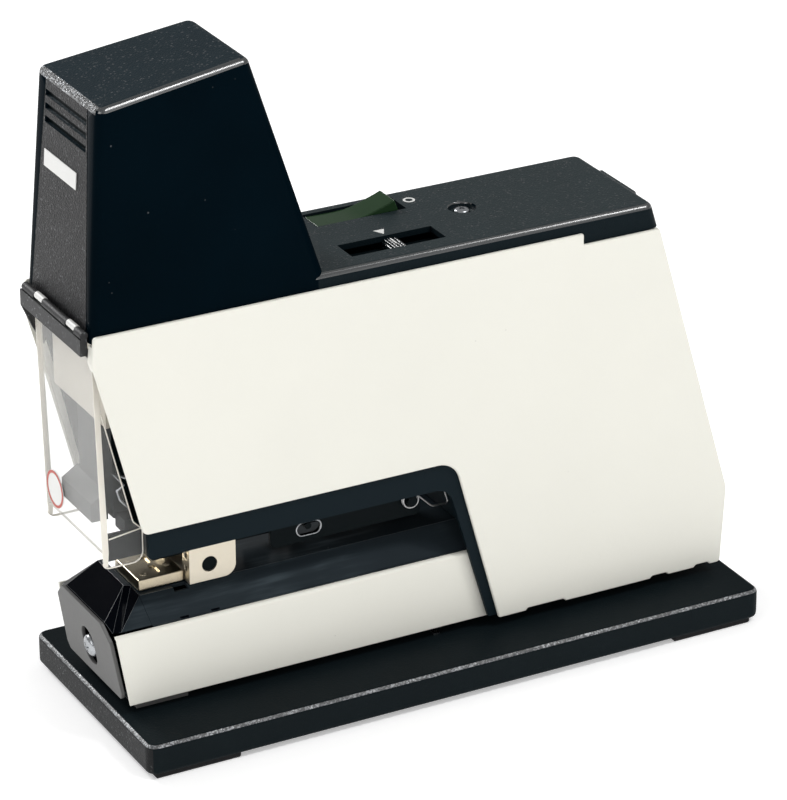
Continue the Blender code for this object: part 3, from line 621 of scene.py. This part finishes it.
def cover_outline():
    """Side view of a white cover, with the paper throat cut into its front."""
    notches = []
    for start, end in ((161, 178), (214, 222), (233, 240)):
        notches += [(start, BODY_BOTTOM, 0), (start + 1, BODY_BOTTOM + 1, 0.6),
                    (end - 1, BODY_BOTTOM + 1, 0.6), (end, BODY_BOTTOM, 0)]
    return rounded([(149.9, BODY_BOTTOM, 1.0)] + notches
                   + [(244.4, BODY_BOTTOM, 1.5), (246.3, 46, 12), (214.6, 155.9, 1.0), (183.2, 155.9, 0.6),
                      (183.2, BODY_TOP, 0.8), (-6.6, BODY_TOP, 1.2), (-7.7, 150.6, 6), (-1.1, 125.5, 20),
                      (9.6, THROAT_TOP, 2.8), (131.4, THROAT_TOP, 9)])


def make_covers():
    """Two bent sheet covers with softly rolled edges."""
    cavity = [(120, 5), (243.35, 5), (243.4, BODY_BOTTOM), (245.3, 46), (213.7, 154.9), (182.2, 154.9),
              (182.2, BODY_TOP - SHEET), (-20, BODY_TOP - SHEET), (-20, 60), (120, 60)]
    for side, sign in SIDES:
        outer = sorted((sign * COVER_HALF, sign * REAR_FLANGE_HALF))
        inner = sorted((sign * (COVER_HALF - SHEET), sign * (REAR_FLANGE_HALF - 3)))
        cover = prism("cover_" + side, "XZ", cover_outline(), outer[0], outer[1])
        bevel = cover.modifiers.new("rolled", "BEVEL")
        bevel.width = 0.9 * MM
        bevel.segments = 4
        bevel.limit_method = "ANGLE"
        bevel.angle_limit = math.radians(60)
        settle(cover)
        hollow = prism("hollow", "XZ", cavity, inner[0], inner[1])
        trim_y = sorted((sign * (DECK_HALF + 0.3), sign * 10.0))
        trim = block("trim", (-20, DECK_REAR + 0.3), trim_y, (150, 170))
        flat_y = sorted((sign * (REAR_FLANGE_HALF - 5), sign * (REAR_FLANGE_HALF + 0.1)))
        flat = block("flange_end", (-30, 260), flat_y, (0, 170))
        cut(cover, hollow, trim, flat)
        tab_y = sorted((sign * 25.4, sign * (COVER_HALF - 0.5)))
        tab = prism("tab", "XZ", [(-7.6, 150.6), (-7.0, 156.6), (-6.0, 156.6), (-6.5, 147.5), (-6.8, 147.5)],
                    tab_y[0], tab_y[1])
        shade(weld(cover, tab))
        dress(cover, "cover_white", nodes=["side_cover_" + side])


def tower_front(z):
    """Return X of the tower's front at a height."""
    return TOWER_FRONT_FOOT + (z - TOP_COVER_BOTTOM) * TOWER_SLOPE


def corner_points(foot, top, sign, inward, upright, edge, arc=5):
    """One upright corner with a rounded upright and a rounded top; foot and top are x, half width, z."""
    points = []
    for step in range(arc + 1):
        turn = math.pi / 2 * step / arc
        along, across = math.cos(turn), math.sin(turn)
        points.append((foot[0] + inward * upright * (1 - along),
                       sign * (foot[1] - upright * (1 - across)), foot[2]))
        for lift in range(6):
            rise = math.pi / 2 * lift / 5
            out = upright - edge + edge * math.cos(rise)
            points.append((top[0] + inward * (upright - out * along),
                           sign * (top[1] - upright + out * across),
                           top[2] - edge + edge * math.sin(rise)))
    return points


def tower_points(inset, foot, edge=2.5, arc=5):
    """Corner points of the tower, or of its hollow when inset is the wall thickness."""
    points = []
    for sign in (-1, 1):
        ends = zip(TOWER_TOP, (TOWER_FRONT_FOOT, TOWER_REAR_FOOT), (1, -1), (3.4, 3.6))
        for (x, half, z), foot_x, inward, upright in ends:
            top = (x + inward * inset, half - inset, z - 0.35 - inset)
            points += corner_points((foot_x + inward * inset, DECK_HALF - inset, foot), top, sign, inward,
                                    upright, edge, arc)
    return points


def deck_points():
    """Deck behind the tower: rolled edges, a leaning back and rounded rear corners."""
    points = []
    for sign in (-1, 1):
        points += corner_points((215.5, DECK_HALF, DECK_FOOT), (213.3, DECK_HALF, DECK_TOP),
                                sign, -1, 3.6, 2.5)
        points += corner_points((76, DECK_HALF, DECK_FOOT), (76, DECK_HALF, DECK_TOP), sign, 1, 2.5, 2.5)
    return points


def make_top_cover():
    """Tower and deck moulding with vents, seams and openings."""
    cover = hull("top_shell", tower_points(0, TOP_COVER_BOTTOM))
    deck = hull("deck", deck_points())
    apron_plan = rounded([(183.7, -DECK_HALF, 0), (212.7, -DECK_HALF, 3.5), (212.7, DECK_HALF, 3.5),
                          (183.7, DECK_HALF, 0)])
    apron = prism("apron", "XY", apron_plan, 155.4, 160)
    lip = prism("rear_lip", "XZ", [(205, 157.5), (216.2, 157.5), (214.6, 164.3), (205, 164.3)], -12, 12)
    round_edges(lip, 0.5, 2, 60)
    weld(cover, deck, apron, lip)
    inner = DECK_HALF - TOP_WALL
    tools = [block("deck_room", (22, DECK_REAR - TOP_WALL), (-inner, inner),
                   (TOP_COVER_BOTTOM - 5, DECK_TOP - TOP_WALL)),
             hull("tower_room", tower_points(TOP_WALL, TOP_COVER_BOTTOM - 2, 0.6, 2)),
             block("rocker_way", (97.5, 133.3), (10.8, 22.8), (160, 170)),
             block("slider_way", (96, 133), (-18.9, -7.6), (160, 170)),
             turned("screw_way", [(0.05, 158), (2.4, 158), (2.4, DECK_TOP - 2.0), (4.6, DECK_TOP - 2.0),
                                  (4.85, DECK_TOP - 0.5), (5.3, DECK_TOP + 0.05), (5.3, 170), (0.05, 170)],
                    (151, 2.3))]
    for z in (232.1, 227.4, 222.8):
        x = tower_front(z)
        tools.append(block("vent_%d" % z, (x - 3, x + 1.5), (-16.6, 16.6), (z - 1.15, z + 1.15)))
    cut(cover, *tools)
    seams = []
    for sign in (-1, 1):
        corners = []
        for z, half in ((TOP_COVER_BOTTOM - 1, 22.9), (237.0, 16.9)):
            x = tower_front(z)
            for dx in (-1.0, 0.45):
                for dy in (-0.28, 0.28):
                    corners.append((x + dx, sign * half + dy, z))
        seams.append(hull("seam", corners))
    shade(cut(cover, *seams))
    dress(cover, "tower_gloss", nodes=["top_cover"])
    paint_faces(cover, "tower_grain", is_front_panel)
    paint_faces(cover, "inner_black", is_vent)
    paint_faces(cover, "roof_grain", lambda centre, normal: normal.z > 0.9 and centre.z > 200)
    paint_faces(cover, "deck_grain", is_grained)
    # Painted shade: the upright faces round the deck get a darker copy of the deck grain.
    paint_faces(cover, "flank_painted_shade", is_flank)
    paint_faces(cover, "edge_gloss", is_lit_edge)
    # Painted highlight: the roof's front lip gets dense painted glints.
    paint_faces(cover, "roof_lip_painted_sparkle", is_front_lip)


def is_front_panel(centre, normal):
    """Faces of the tower's grained front panel, between its two seams."""
    half = 22.9 - (centre.z - 156) * 0.074
    return normal.x < -0.8 and abs(centre.y) < half and centre.x < 12


def is_vent(centre, normal):
    """Walls of the vent grooves and of the two seams."""
    depth = centre.x - tower_front(centre.z)
    groove = 0.2 < depth < 2.0 and abs(centre.y) < 24 and abs(normal.z) > 0.5 and centre.z < 236
    return groove or (0.9 < depth < 2.0 and abs(centre.y) < 17 and 220 < centre.z < 234)


def is_grained(centre, normal):
    """Grained faces: the deck and the deck's flanks."""
    deck = normal.z > 0.9 and centre.z < 200
    inside = centre.x < 90 and normal.z < 0 and centre.z > 150
    return deck or inside


def is_flank(centre, normal):
    """Upright faces round the deck."""
    return centre.x > 84 and abs(normal.z) < 0.3 and centre.z > 155


def is_lit_edge(centre, normal):
    """The smooth rounded edges along the deck and the roof's sides."""
    return 0.34 < normal.z < 0.98 and abs(normal.y) > 0.15 and abs(normal.x) < 0.75


def is_front_lip(centre, normal):
    """The rolled front edge of the tower's roof."""
    return normal.x < -0.15 and 0.15 < normal.z < 0.97 and centre.z > 230 and abs(normal.y) < 0.3


def make_deck_marks():
    """Plain marks by the controls: a ring for off and a pointer for the slider."""
    ring = turned("off_ring", [(1.35, DECK_TOP - 0.1), (2.2, DECK_TOP - 0.1), (2.2, DECK_TOP + 0.06),
                               (1.35, DECK_TOP + 0.06)], (137.7, 17.2), 32)
    dress(ring, "mark_white")
    pointer = prism("pointer_mark", "XY", [(113.0, -2.0), (117.3, -2.2), (115.2, -6.2)], DECK_TOP - 0.1,
                    DECK_TOP + 0.06)
    dress(pointer, "mark_white")
    plate_points = []
    for z in (206.5, 212.5):
        x = tower_front(z)
        for dx in (-0.16, 0.1):
            for y in (-10.5, 15.5):
                plate_points.append((x + dx, y, z))
    dress(hull("name_plate_blank", plate_points), "mark_white")


def phillips(head_height, size, depth):
    """The two crossed wedges that cut a cross recess, pointing down from a height."""
    wedges = []
    for turn in (0, 90):
        points = []
        for a, b, c in ((size, 0.36, 0.4), (size * 0.45, 0.22, -depth)):
            for sa in (-1, 1):
                for sb in (-1, 1):
                    spot = Matrix.Rotation(math.radians(turn + 20), 2) @ Vector((sa * a, sb * b))
                    points.append((spot.x, spot.y, head_height + c))
        wedges.append(hull("cross", points))
    return wedges


def dome(radius, height, low, base):
    """A pan head's closed profile, from its underside up and over."""
    profile = [(0.05, low), (radius, low), (radius, base)]
    for step in range(1, 7):
        angle = math.pi / 2 * step / 6
        profile.append((max(0.05, radius * math.cos(angle) ** 0.7), base + (height - base) * math.sin(angle)))
    return profile


def make_screws():
    """Cross-recessed pan heads: one sunk in the deck, one in the arm's keyhole."""
    deck = turned("deck_screw_head", dome(2.85, DECK_TOP - 0.25, DECK_TOP - 1.8, DECK_TOP - 1.3), sides=32)
    cut(deck, *phillips(DECK_TOP - 0.3, 1.5, 1.2))
    deck.data.transform(Matrix.Translation(Vector((151, 2.3, 0)) * MM))
    shade(deck, 30)
    dress(deck, "screw_zinc", nodes=["deck_screw"])

    front = turned("arm_screw_head", dome(4.25, 2.6, -1.0, 0.5), sides=40)
    cut(front, *phillips(2.5, 2.3, 1.9))
    lean = math.atan(0.167)
    back = Matrix.Translation(-CORNER + Vector((0, CORNER.y, 0)))
    seat = Matrix.Translation(in_frame(arm_front(29, -1.4), 0, 29))
    front.data.transform(seat @ Matrix.Rotation(-math.pi / 2 - lean, 4, "Y") @ back)
    shade(front, 30)
    dress(front, "screw_zinc", nodes=["arm_front_screw"])


def make_rocker():
    """Rocker with a hollowed face on each half."""
    tilt = Matrix.Rotation(math.radians(8.0), 2)
    outline = [Vector((-16.3, 6.2)), Vector((-15.7, 0.5)), Vector((-6, -5.5)), Vector((6, -5.5)),
               Vector((15.7, 0.5)), Vector((14.4, 6.3))]
    for step in range(1, 12):
        share = step / 12
        x = 14.4 - 30.7 * share
        outline.append(Vector((x, 3.9 + 2.3 * (abs(x) / (14.4 if x > 0 else 16.3)) ** 1.25)))
    outline = [tilt @ point + Vector(ROCKER_PIVOT) for point in outline]
    rocker = prism("rocker_body", "XZ", outline, ROCKER_Y - 5.5, ROCKER_Y + 5.5)
    round_edges(rocker, 0.45, 3, 30)
    dress(rocker, "rocker_green", "rocker", ["rocker"])


def make_slider():
    """Ribbed slider knob with a white line."""
    ribs = [(KNOB_X + 2.8, 161.0), (KNOB_X + 2.8, 163.0)]
    for step in range(4):
        x = KNOB_X + 2.4 - step * 1.3
        ribs += [(x, 164.6), (x - 0.6, 164.6), (x - 0.9, 163.6), (x - 1.1, 163.6)]
    ribs += [(KNOB_X - 2.9, 163.0), (KNOB_X - 2.9, 161.0)]
    knob = prism("slider_cap", "XZ", ribs, KNOB_Y - 5.0, KNOB_Y + 5.0)
    stem = block("stem", (KNOB_X - 1.5, KNOB_X + 1.5), (KNOB_Y - 0.4, KNOB_Y + 0.4), (156, 162))
    weld(knob, stem)
    round_edges(knob, 0.12, 2, 30)
    dress(knob, "edge_gloss", "slider", ["slider_knob"])
    line = block("slider_line", (KNOB_X + 0.0, KNOB_X + 0.4), (KNOB_Y - 0.2, KNOB_Y + 4.4), (164.4, 164.66))
    dress(line, "mark_white", "slider")


def make_arm_pieces():
    """Front plate, hood, side panels and anvil of the arm."""
    half_view = [(21.5, 17.3), (23.2, 20), (22.4, 40.5), (16.6, 46)]
    outline = half_view + [(-y, z) for y, z in reversed(half_view)]
    shape = bmesh.new()
    rings = []
    for back in (0.0, 1.5):
        rings.append([shape.verts.new((arm_front(z, -back), y, z)) for y, z in outline])
        shape.faces.new(rings[-1])
    for index in range(len(outline)):
        shape.faces.new((rings[0][index - 1], rings[0][index], rings[1][index], rings[1][index - 1]))
    plate = solid("arm_nose_plate", shape)
    slot = rounded([(-5.0, 21.5, 4.9), (5.0, 21.5, 4.9), (5.0, 36.5, 4.9), (-5.0, 36.5, 4.9)])
    cut(plate, prism("keyhole", "YZ", slot, -6, 10))
    round_edges(plate, 0.3, 3, 40)
    dress(plate, "front_grey", nodes=["arm_front_plate"])

    low = ARM_TOP + 0.3
    slope = [(23.0, low - 0.7), (23.0, low), (HOOD_HALF, low), (RIDGE_HALF, RIDGE_TOP)]
    under = [(RIDGE_HALF - 0.4, RIDGE_TOP - 1.3), (20.8, low), (20.8, low - 0.7)]
    far_side = [(-y, z) for y, z in reversed(slope)] + [(-y, z) for y, z in reversed(under)]
    outline = slope + far_side + under
    roof = prism("hood_roof", "YZ", outline, 14.5, 142)
    points, shoulder = [], []
    for sign in (-1, 1):
        points += [(arm_front(46, -1.9), sign * 16.2, 46), (arm_front(low, -1.9), sign * 16.8, low),
                   (9.2, sign * 10.9, NOSE_TOP), (11.6, sign * 11.6, NOSE_TOP - 0.4),
                   (-0.2, sign * 21.6, low), (2.6, sign * HOOD_HALF, low),
                   (14.6, sign * RIDGE_HALF, RIDGE_TOP)]
        shoulder += [(1.8, sign * HOOD_HALF, low), (15.0, sign * HOOD_HALF, low),
                     (15.0, sign * RIDGE_HALF, RIDGE_TOP), (13.8, sign * RIDGE_HALF, RIDGE_TOP)]
    weld(roof, hull("nose", points), hull("shoulder", shoulder))
    notches = [block("ridge_notch_" + side, (27.6, 33.0), sorted((sign * 9.9, sign * 13.6)), (49.2, 52))
               for side, sign in SIDES]
    cut(roof, *notches)
    round_edges(roof, 0.4, 2, 12)
    shade(roof, 11)
    # The hood's finish holds painted reflections; the nose faces keep a plain dark gloss.
    dress(roof, "hood_painted_reflection", nodes=["arm_hood"])
    paint_faces(roof, "nose_gloss",
                lambda centre, normal: centre.x < 15.5 and (normal.x < -0.2 or normal.z < 0.78))
    # Painted highlight: light grey lines along the ridges and the nose's upper corners.
    paint_faces(roof, "painted_edge_highlight", is_ridge)
    paint_faces(roof, "painted_edge_highlight", is_nose_edge, 9.0)
    for side, sign in SIDES:
        for x in (25.4, 37.4):
            tab = hull("hood_tab_%s_%d" % (side, x),
                       [(x, sign * 22.0, 44.2), (x + 3.4, sign * 22.0, 44.2), (x + 0.5, sign * 23.6, 43.2),
                        (x + 2.9, sign * 23.6, 43.2), (x, sign * 21.6, 43.7), (x + 3.4, sign * 21.6, 43.7),
                        (x + 0.5, sign * 23.2, 43.6), (x + 2.9, sign * 23.2, 43.6)])
            dress(tab, "nose_gloss")
        make_arm_panel(side, sign)

    anvil = block("anvil_face", (15.3, 32.9), (-10, 10), (RIDGE_TOP + 0.3, ANVIL_TOP))
    round_edges(anvil, 0.6, 3, 40)
    tools = []
    for y in (-4.0, 4.0):
        groove = rounded([(STAPLE_X - 1.2, y - 3.4, 1.1), (STAPLE_X + 1.2, y - 3.4, 1.1),
                          (STAPLE_X + 1.2, y + 3.4, 1.1), (STAPLE_X - 1.2, y + 3.4, 1.1)], 5)
        tools.append(prism("clinch", "XY", groove, ANVIL_TOP - 0.8, 60))
    shade(cut(anvil, *tools))
    dress(anvil, "anvil_gold", nodes=["anvil_plate"])
    for number, (x, y) in enumerate(((19.2, -6.0), (29.6, -2.6), (19.2, 6.0))):
        rivet = turned("anvil_rivet_%d" % number,
                       [(0.5, ANVIL_TOP - 0.1), (1.5, ANVIL_TOP - 0.1), (1.4, ANVIL_TOP + 0.12),
                        (0.7, ANVIL_TOP + 0.12)], (x, y), 24)
        dress(shade(rivet), "anvil_gold")


def is_ridge(centre, normal):
    """Narrow faces along the hood's two ridges."""
    near = abs(abs(centre.y) - RIDGE_HALF) < 0.45 and centre.z > RIDGE_TOP - 0.5
    return near and centre.x > 15.0 and 0.3 < normal.z < 0.99


def is_nose_edge(centre, normal):
    """Narrow faces along the nose's upper corners."""
    return centre.x < 14.2 and centre.z > ARM_TOP + 1 and 0.05 < normal.z < 0.97


def make_arm_panel(side, sign):
    """White side panel of the arm, with a rounded top edge turned inwards."""
    section = rounded([(ARM_HALF, BODY_BOTTOM, 0.4), (ARM_HALF, ARM_TOP, 1.5), (23.3, ARM_TOP, 0),
                       (23.3, ARM_TOP - SHEET, 0), (ARM_HALF - SHEET, ARM_TOP - SHEET, 0.5),
                       (ARM_HALF - SHEET, BODY_BOTTOM, 0)], 6)
    section = [(sign * y, z) for y, z in section]
    panel = prism("arm_side_" + side, "YZ", section, 0, ARM_REAR)
    for vertex in panel.data.vertices:
        if vertex.co.x < CORNER.x + MM:
            vertex.co.x = CORNER.x + arm_front((vertex.co.z - CORNER.z) / MM, -1.9) * MM
    radius = 9.0
    corner = [(155, 50), (ARM_REAR - radius, 50)]
    for step in range(13):
        angle = math.radians(90 - 7.5 * step)
        corner.append((ARM_REAR - radius + radius * math.cos(angle),
                       ARM_TOP - radius + radius * math.sin(angle)))
    corner.append((155, ARM_TOP - radius))
    y = sorted((sign * 18, sign * 30))
    cut(panel, prism("panel_corner", "XZ", corner, y[0], y[1]))
    round_edges(panel, 0.25, 2, 50)
    dress(panel, "cover_white", nodes=["arm_panel_" + side])


def make_guard():
    """Clear shield with painted glow on its bright rims, its knuckled bracket and a plain round sticker."""
    side_view = rounded([(-5.5, 152, 0), (-3.9, 77, 0), (-3.3, 70.3, 2.4), (11.6, 70.3, 4), (11.6, 82.5, 1),
                         (8.2, 86, 2), (-2.4, 129, 0), (-3.2, 152, 0)])
    shield = prism("shield", "XZ", side_view, -SHIELD_HALF, SHIELD_HALF)
    inner = SHIELD_HALF - 1.2
    room = [(-4.3, 160), (-2.7, 77), (-2.7, 60), (30, 60), (30, 160)]
    cut(shield, prism("room", "XZ", room, -inner, inner),
        block("sill", (-10, 20), (-inner, inner), (60, 76.5)))
    round_edges(shield, 0.25, 2, 50)
    dress(shield, "guard_side", "guard", ["guard_shield"])
    # Painted reflection: the shield's front faces are made whiter and less clear than its sides.
    paint_faces(shield, "guard_front_painted_reflection", lambda centre, normal: abs(normal.x) > 0.8 and abs(centre.y) < 23)
    # Painted glow: the shield's top and bottom edge faces get an almost opaque cream.
    paint_faces(shield, "guard_edge_painted_glow", lambda centre, normal: normal.z < -0.5 or normal.z > 0.5)
    # Painted glow: cream strips, edge beads and ledges stand in for light along the shield's edges.
    for side, sign in SIDES:
        y = sorted((sign * 23.15, sign * 23.72))
        band = [(-5.45, 150), (-3.85, 77), (-3.5, 71.6), (-1.9, 71.0), (-1.5, 77), (-2.9, 128), (-3.0, 150)]
        strip = prism("shield_strip_" + side, "XZ", band, y[0], y[1])
        round_edges(strip, 0.15, 2, 40)
        dress(strip, "guard_edge_painted_glow", "guard")
        route = [point for point in side_view if point.y < 129.5 and not (point.x < -3.6 and point.y > 70)]
        rim = wire("shield_rim_" + side, [(x - 0.2, sign * 23.45, z + 0.2) for x, z in route], 0.26, 8)
        dress(shade(rim, 60), "guard_edge_painted_glow", "guard")
        ledge = wire("shield_ledge_" + side, [(-1.2, sign * 23.3, 81.4), (10.9, sign * 23.3, 83.0)], 0.28, 8)
        dress(ledge, "guard_edge_painted_glow", "guard")

    bracket = block("bracket_bar", (-9.95, -7.3), (-25.1, 24.2), (152.8, 158.9))
    rear_line = [(-7.3, 158.7), (-7.3, 155.5), (-3.6, 150), (-0.6, 139.5), (-2.4, 136.8)]
    arm_views = {"right": [(-8.4, 158.7)] + rear_line + [(-4.3, 142), (-5.6, 149.5), (-8.4, 153.2)],
                 "left": [(-9.95, 158.7)] + rear_line + [(-6.2, 144), (-9.95, 152.8)]}
    parts = []
    for side, sign in SIDES:
        y = sorted((sign * 25.1, sign * (SHIELD_HALF + 0.3)))
        parts.append(prism("bracket_arm", "XZ", arm_views[side], y[0], y[1]))
    for low, high in ((-25.1, -19.7), (-12.6, 6.9), (14.0, 23.6)):
        barrel = circle(GUARD_AXIS[0] - 0.1, GUARD_AXIS[1] - 0.4, 1.5, 24)
        parts.append(prism("knuckle", "XZ", barrel, low, high))
    weld(bracket, *parts)
    round_edges(bracket, 0.25, 2, 40)
    dress(bracket, "bracket_grain", "guard", ["guard_bracket"])

    sticker = prism("sticker_disc", "YZ", circle(14.0, 85.5, 7.0, 48), -4.62, -4.42)
    ring_profile = [(5.9, 0.0), (6.9, 0.0), (6.9, 0.12), (5.9, 0.12)]
    ring = turned("sticker_ring", ring_profile, sides=48)
    back = Matrix.Translation(-CORNER + Vector((0, CORNER.y, 0)))
    upright = Matrix.Rotation(-math.pi / 2, 4, "Y")
    ring.data.transform(Matrix.Translation(in_frame(-4.6, 14.0, 85.5)) @ upright @ back)
    for piece, finish in ((sticker, "mark_white"), (ring, "ring_red")):
        dress(piece, finish, "guard")


def make_paper_stop():
    """Plated saddle with a dark disc in its hole as painted shade, and a perforated front lip."""
    side_view = rounded([(33.3, 51.1, 0), (51.5, 51.1, 4.5), (51.5, 70.4, 0), (33.3, 70.4, 0)])
    stop = prism("stop_saddle", "XZ", side_view, -13.9, 13.9)
    tools = [block("room", (34.3, 60), (-12.9, 12.9), (52.1, 80)),
             block("gap", (30, 60), (-8.0, 8.0), (52.1, 80)),
             prism("hole", "XZ", circle(41.2, 57.5, 2.9), -20, 20)]
    for z in (55.4, 60.4, 65.4):
        for sign in (-1, 1):
            y = sorted((sign * 9.6, sign * 12.0))
            tools.append(block("slot", (32, 34.6), y, (z, z + 1.9)))
    cut(stop, *tools)
    round_edges(stop, 0.22, 2, 50)
    dress(stop, "nickel", "paper_stop", ["paper_stop"])
    # Painted shade: a dark disc in each side hole stands in for the shade inside it.
    for side, sign in SIDES:
        y = sorted((sign * 11.4, sign * 13.2))
        plug = prism("stop_hole_shade_" + side, "XZ", circle(41.2, 57.5, 2.86), y[0], y[1])
        dress(shade(plug), "inner_black", "paper_stop")


def make_cradle():
    """Magazine cradle with its slot rim, and the lift spring on the pivot pin."""
    cradle_view = rounded([(66, 56.5, 2), (126.0, 56.5, 2), (126.0, 72, 0), (66, 72, 0)])
    cradle = prism("cradle_walls", "XZ", cradle_view, -12.4, 12.4)
    slot = rounded([(76.2, 58.8, 2.5), (86, 58.8, 2.5), (86, 64.0, 2.5), (76.2, 64.0, 2.5)])
    cut(cradle, block("room", (60, 130), (-10.4, 10.4), (50, 71)), prism("slot", "XZ", slot, -15, 15),
        prism("bore", "XZ", circle(*PIVOT, 2.25), -15, 15))
    round_edges(cradle, 0.2, 2, 50)
    dress(cradle, "inner_black", nodes=["magazine_cradle"])
    for side, sign in SIDES:
        rim = wire("slot_rim_" + side, [(x, sign * 12.35, z) for x, z in slot], 0.32, 8, closed=True)
        dress(shade(rim, 60), "screw_zinc")
    turns = coil_route((PIVOT[0], -15.4, PIVOT[1]), "Y", 2.9, 2.125, 2.1, 32)
    legs = [(129.9, -13.3, 59.3), (130.9, -13.3, 58.8), (136.0, -13.3, 58.6), (136.9, -13.3, 59.3),
            (134.9, -13.3, 66.1)]
    spring = wire("lift_spring", [(111.5, -15.4, 66.9)] + turns + legs, 0.34)
    dress(shade(spring, 60), "bright_steel", nodes=["magazine_lift_spring"])


def make_head_clip():
    """Bent spring wire on the near side of the head casting."""
    route = [(7.5, -13.5, 101.0), (7.2, -19.6, 101.5), (2.7, -20.0, 103.9), (6.6, -20.0, 99.0),
             (3.9, -20.0, 97.4), (4.9, -20.0, 93.8), (7.8, -20.0, 90.4), (8.2, -19.6, 89.6),
             (8.4, -13.5, 89.4)]
    dress(shade(wire("head_clip", route, 0.42, 8), 60), "screw_zinc")


def make_rear_details():
    """Mains inlet with rounded rim and round-ended contact blades."""
    inlet = block("inlet_body", (224, 244.0), (-13.5, 13.5), (21, 41))
    round_edges(inlet, 0.8, 3, 40)
    mouth = rounded([(-11.2, 24, 1.0), (11.2, 24, 1.0), (11.2, 35, 3.0), (8.2, 38, 1.0), (-8.2, 38, 1.0),
                     (-11.2, 35, 3.0)], 4)
    cut(inlet, prism("mouth", "YZ", mouth, 227, 250))
    dress(shade(inlet), "inner_black", nodes=["mains_inlet"])
    for y in (-7, 0, 7):
        lift = 2.5 if y == 0 else 0
        pin = block("inlet_blade_%d" % (y + 8), (226, 238), (y - 1, y + 1), (28 + lift, 32 + lift))
        round_edges(pin, 0.5, 3, 40)
        dress(pin, "screw_zinc")


CARRIED = {
    "rubber": ["foot_front_left", "foot_front_right", "foot_rear_left", "foot_rear_right"],
    "skirt_black": ["chassis_plate_left", "chassis_plate_right", "throat_pan", "throat_bulkhead"],
    "inner_black": ["head_casting", "switch_case", "slider_body", "pusher", "magazine_channel", "arm_channel",
                    "capacitor", "microswitch", "magazine_pivot_pin"],
    "deck_grain": ["rear_panel"],
    "beige": ["head_plate"],
    "front_grey": ["stand_front"],
    "board_green": ["control_board"],
    "coil_bobbin": ["bobbin"],
    "copper": ["solenoid_coil"],
    "pin_white": ["guard_pin_left", "guard_pin_right"],
    "bright_steel": ["stand_rear", "cross_rod_front", "cross_rod_rear", "solenoid_yoke", "plunger",
                     "plunger_collar", "driver_carrier", "driver_blade", "return_spring",
                     "magazine_core", "staple_strip", "pusher_spring", "trigger_lever", "trigger_pin"],
}


def finish_carried_nodes():
    """Give each CAD piece that stays in view its own finish."""
    for finish, names in CARRIED.items():
        for name in names:
            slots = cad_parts[name].material_slots
            for place in slots:
                place.material = FINISHES[finish]


# ---- studio

def make_floor():
    """Plain pale floor."""
    shape = bmesh.new()
    bmesh.ops.create_grid(shape, x_segments=8, y_segments=8, size=6.0)
    mesh = bpy.data.meshes.new("studio_floor")
    shape.to_mesh(mesh)
    shape.free()
    floor = bpy.data.objects.new("studio_floor", mesh)
    bpy.context.scene.collection.objects.link(floor)
    finish = Finish("floor_paper", Specular_IOR_Level=0.0, Emission_Color=(1.0, 1.0, 1.0, 1.0),
                    Emission_Strength=0.36)
    cloud = finish.noise(400.0, 2.0)
    finish.feed(Base_Color=finish.blend(cloud, (0.93, 0.93, 0.93), (0.96, 0.96, 0.96)),
                Roughness=0.9 + cloud * 0.05)
    mesh.materials.append(finish.material)


def softbox(name, direction, distance, size, power, colour=(1.0, 1.0, 1.0)):
    """A square soft light that faces the middle of the stapler."""
    lamp = bpy.data.lights.new(name, "AREA")
    lamp.shape = "SQUARE"
    lamp.size = size
    lamp.energy = power
    lamp.color = colour
    light = bpy.data.objects.new(name, lamp)
    bpy.context.scene.collection.objects.link(light)
    aim = Vector((-0.01, 0.0, 0.10))
    light.location = aim + Vector(direction).normalized() * distance
    light.rotation_euler = (aim - light.location).to_track_quat("-Z", "Y").to_euler()


def make_studio():
    """Floor, soft lights and an even pale surround."""
    make_floor()
    softbox("top_light", (0.43, -0.42, 0.80), 1.9, 0.22, 9.0)
    softbox("edge_light", (0.21, -0.46, 0.87), 2.0, 0.25, 4.5)
    softbox("rim_light", (-0.34, 0.80, 0.50), 2.2, 0.5, 26.0)
    softbox("front_light", (-0.85, -0.35, 0.38), 2.0, 1.0, 6.0)
    softbox("side_light", (0.10, -0.95, 0.30), 2.2, 1.4, 4.5)
    surround = bpy.data.worlds.new("surround")
    surround.use_nodes = True
    sky = surround.node_tree.nodes["Background"]
    sky.inputs["Color"].default_value = (1.0, 1.0, 1.0, 1.0)
    sky.inputs["Strength"].default_value = 0.38
    bpy.context.scene.world = surround
    bpy.context.scene.view_settings.view_transform = "Standard"


def make_camera():
    """Camera looking down at the right front corner."""
    lens = bpy.data.cameras.new("camera")
    lens.sensor_width = 36.0
    lens.lens = 189.1
    lens.clip_start = 0.05
    lens.clip_end = 50.0
    camera = bpy.data.objects.new("camera", lens)
    bpy.context.scene.collection.objects.link(camera)
    turn = Matrix.Rotation(math.radians(-28.01), 4, "Z")
    tip = Matrix.Rotation(math.radians(90.0 - 24.98), 4, "X")
    roll = Matrix.Rotation(math.radians(-0.22), 4, "Z")
    camera.matrix_world = Matrix.Translation((-0.6391, -1.2053, 0.7354)) @ turn @ tip @ roll
    bpy.context.scene.camera = camera


FINISHES = make_finishes()
make_camera()
make_studio()
make_base()
make_covers()
make_top_cover()
make_deck_marks()
make_screws()
make_rocker()
make_slider()
make_arm_pieces()
make_guard()
make_paper_stop()
make_cradle()
make_head_clip()
make_rear_details()
finish_carried_nodes()
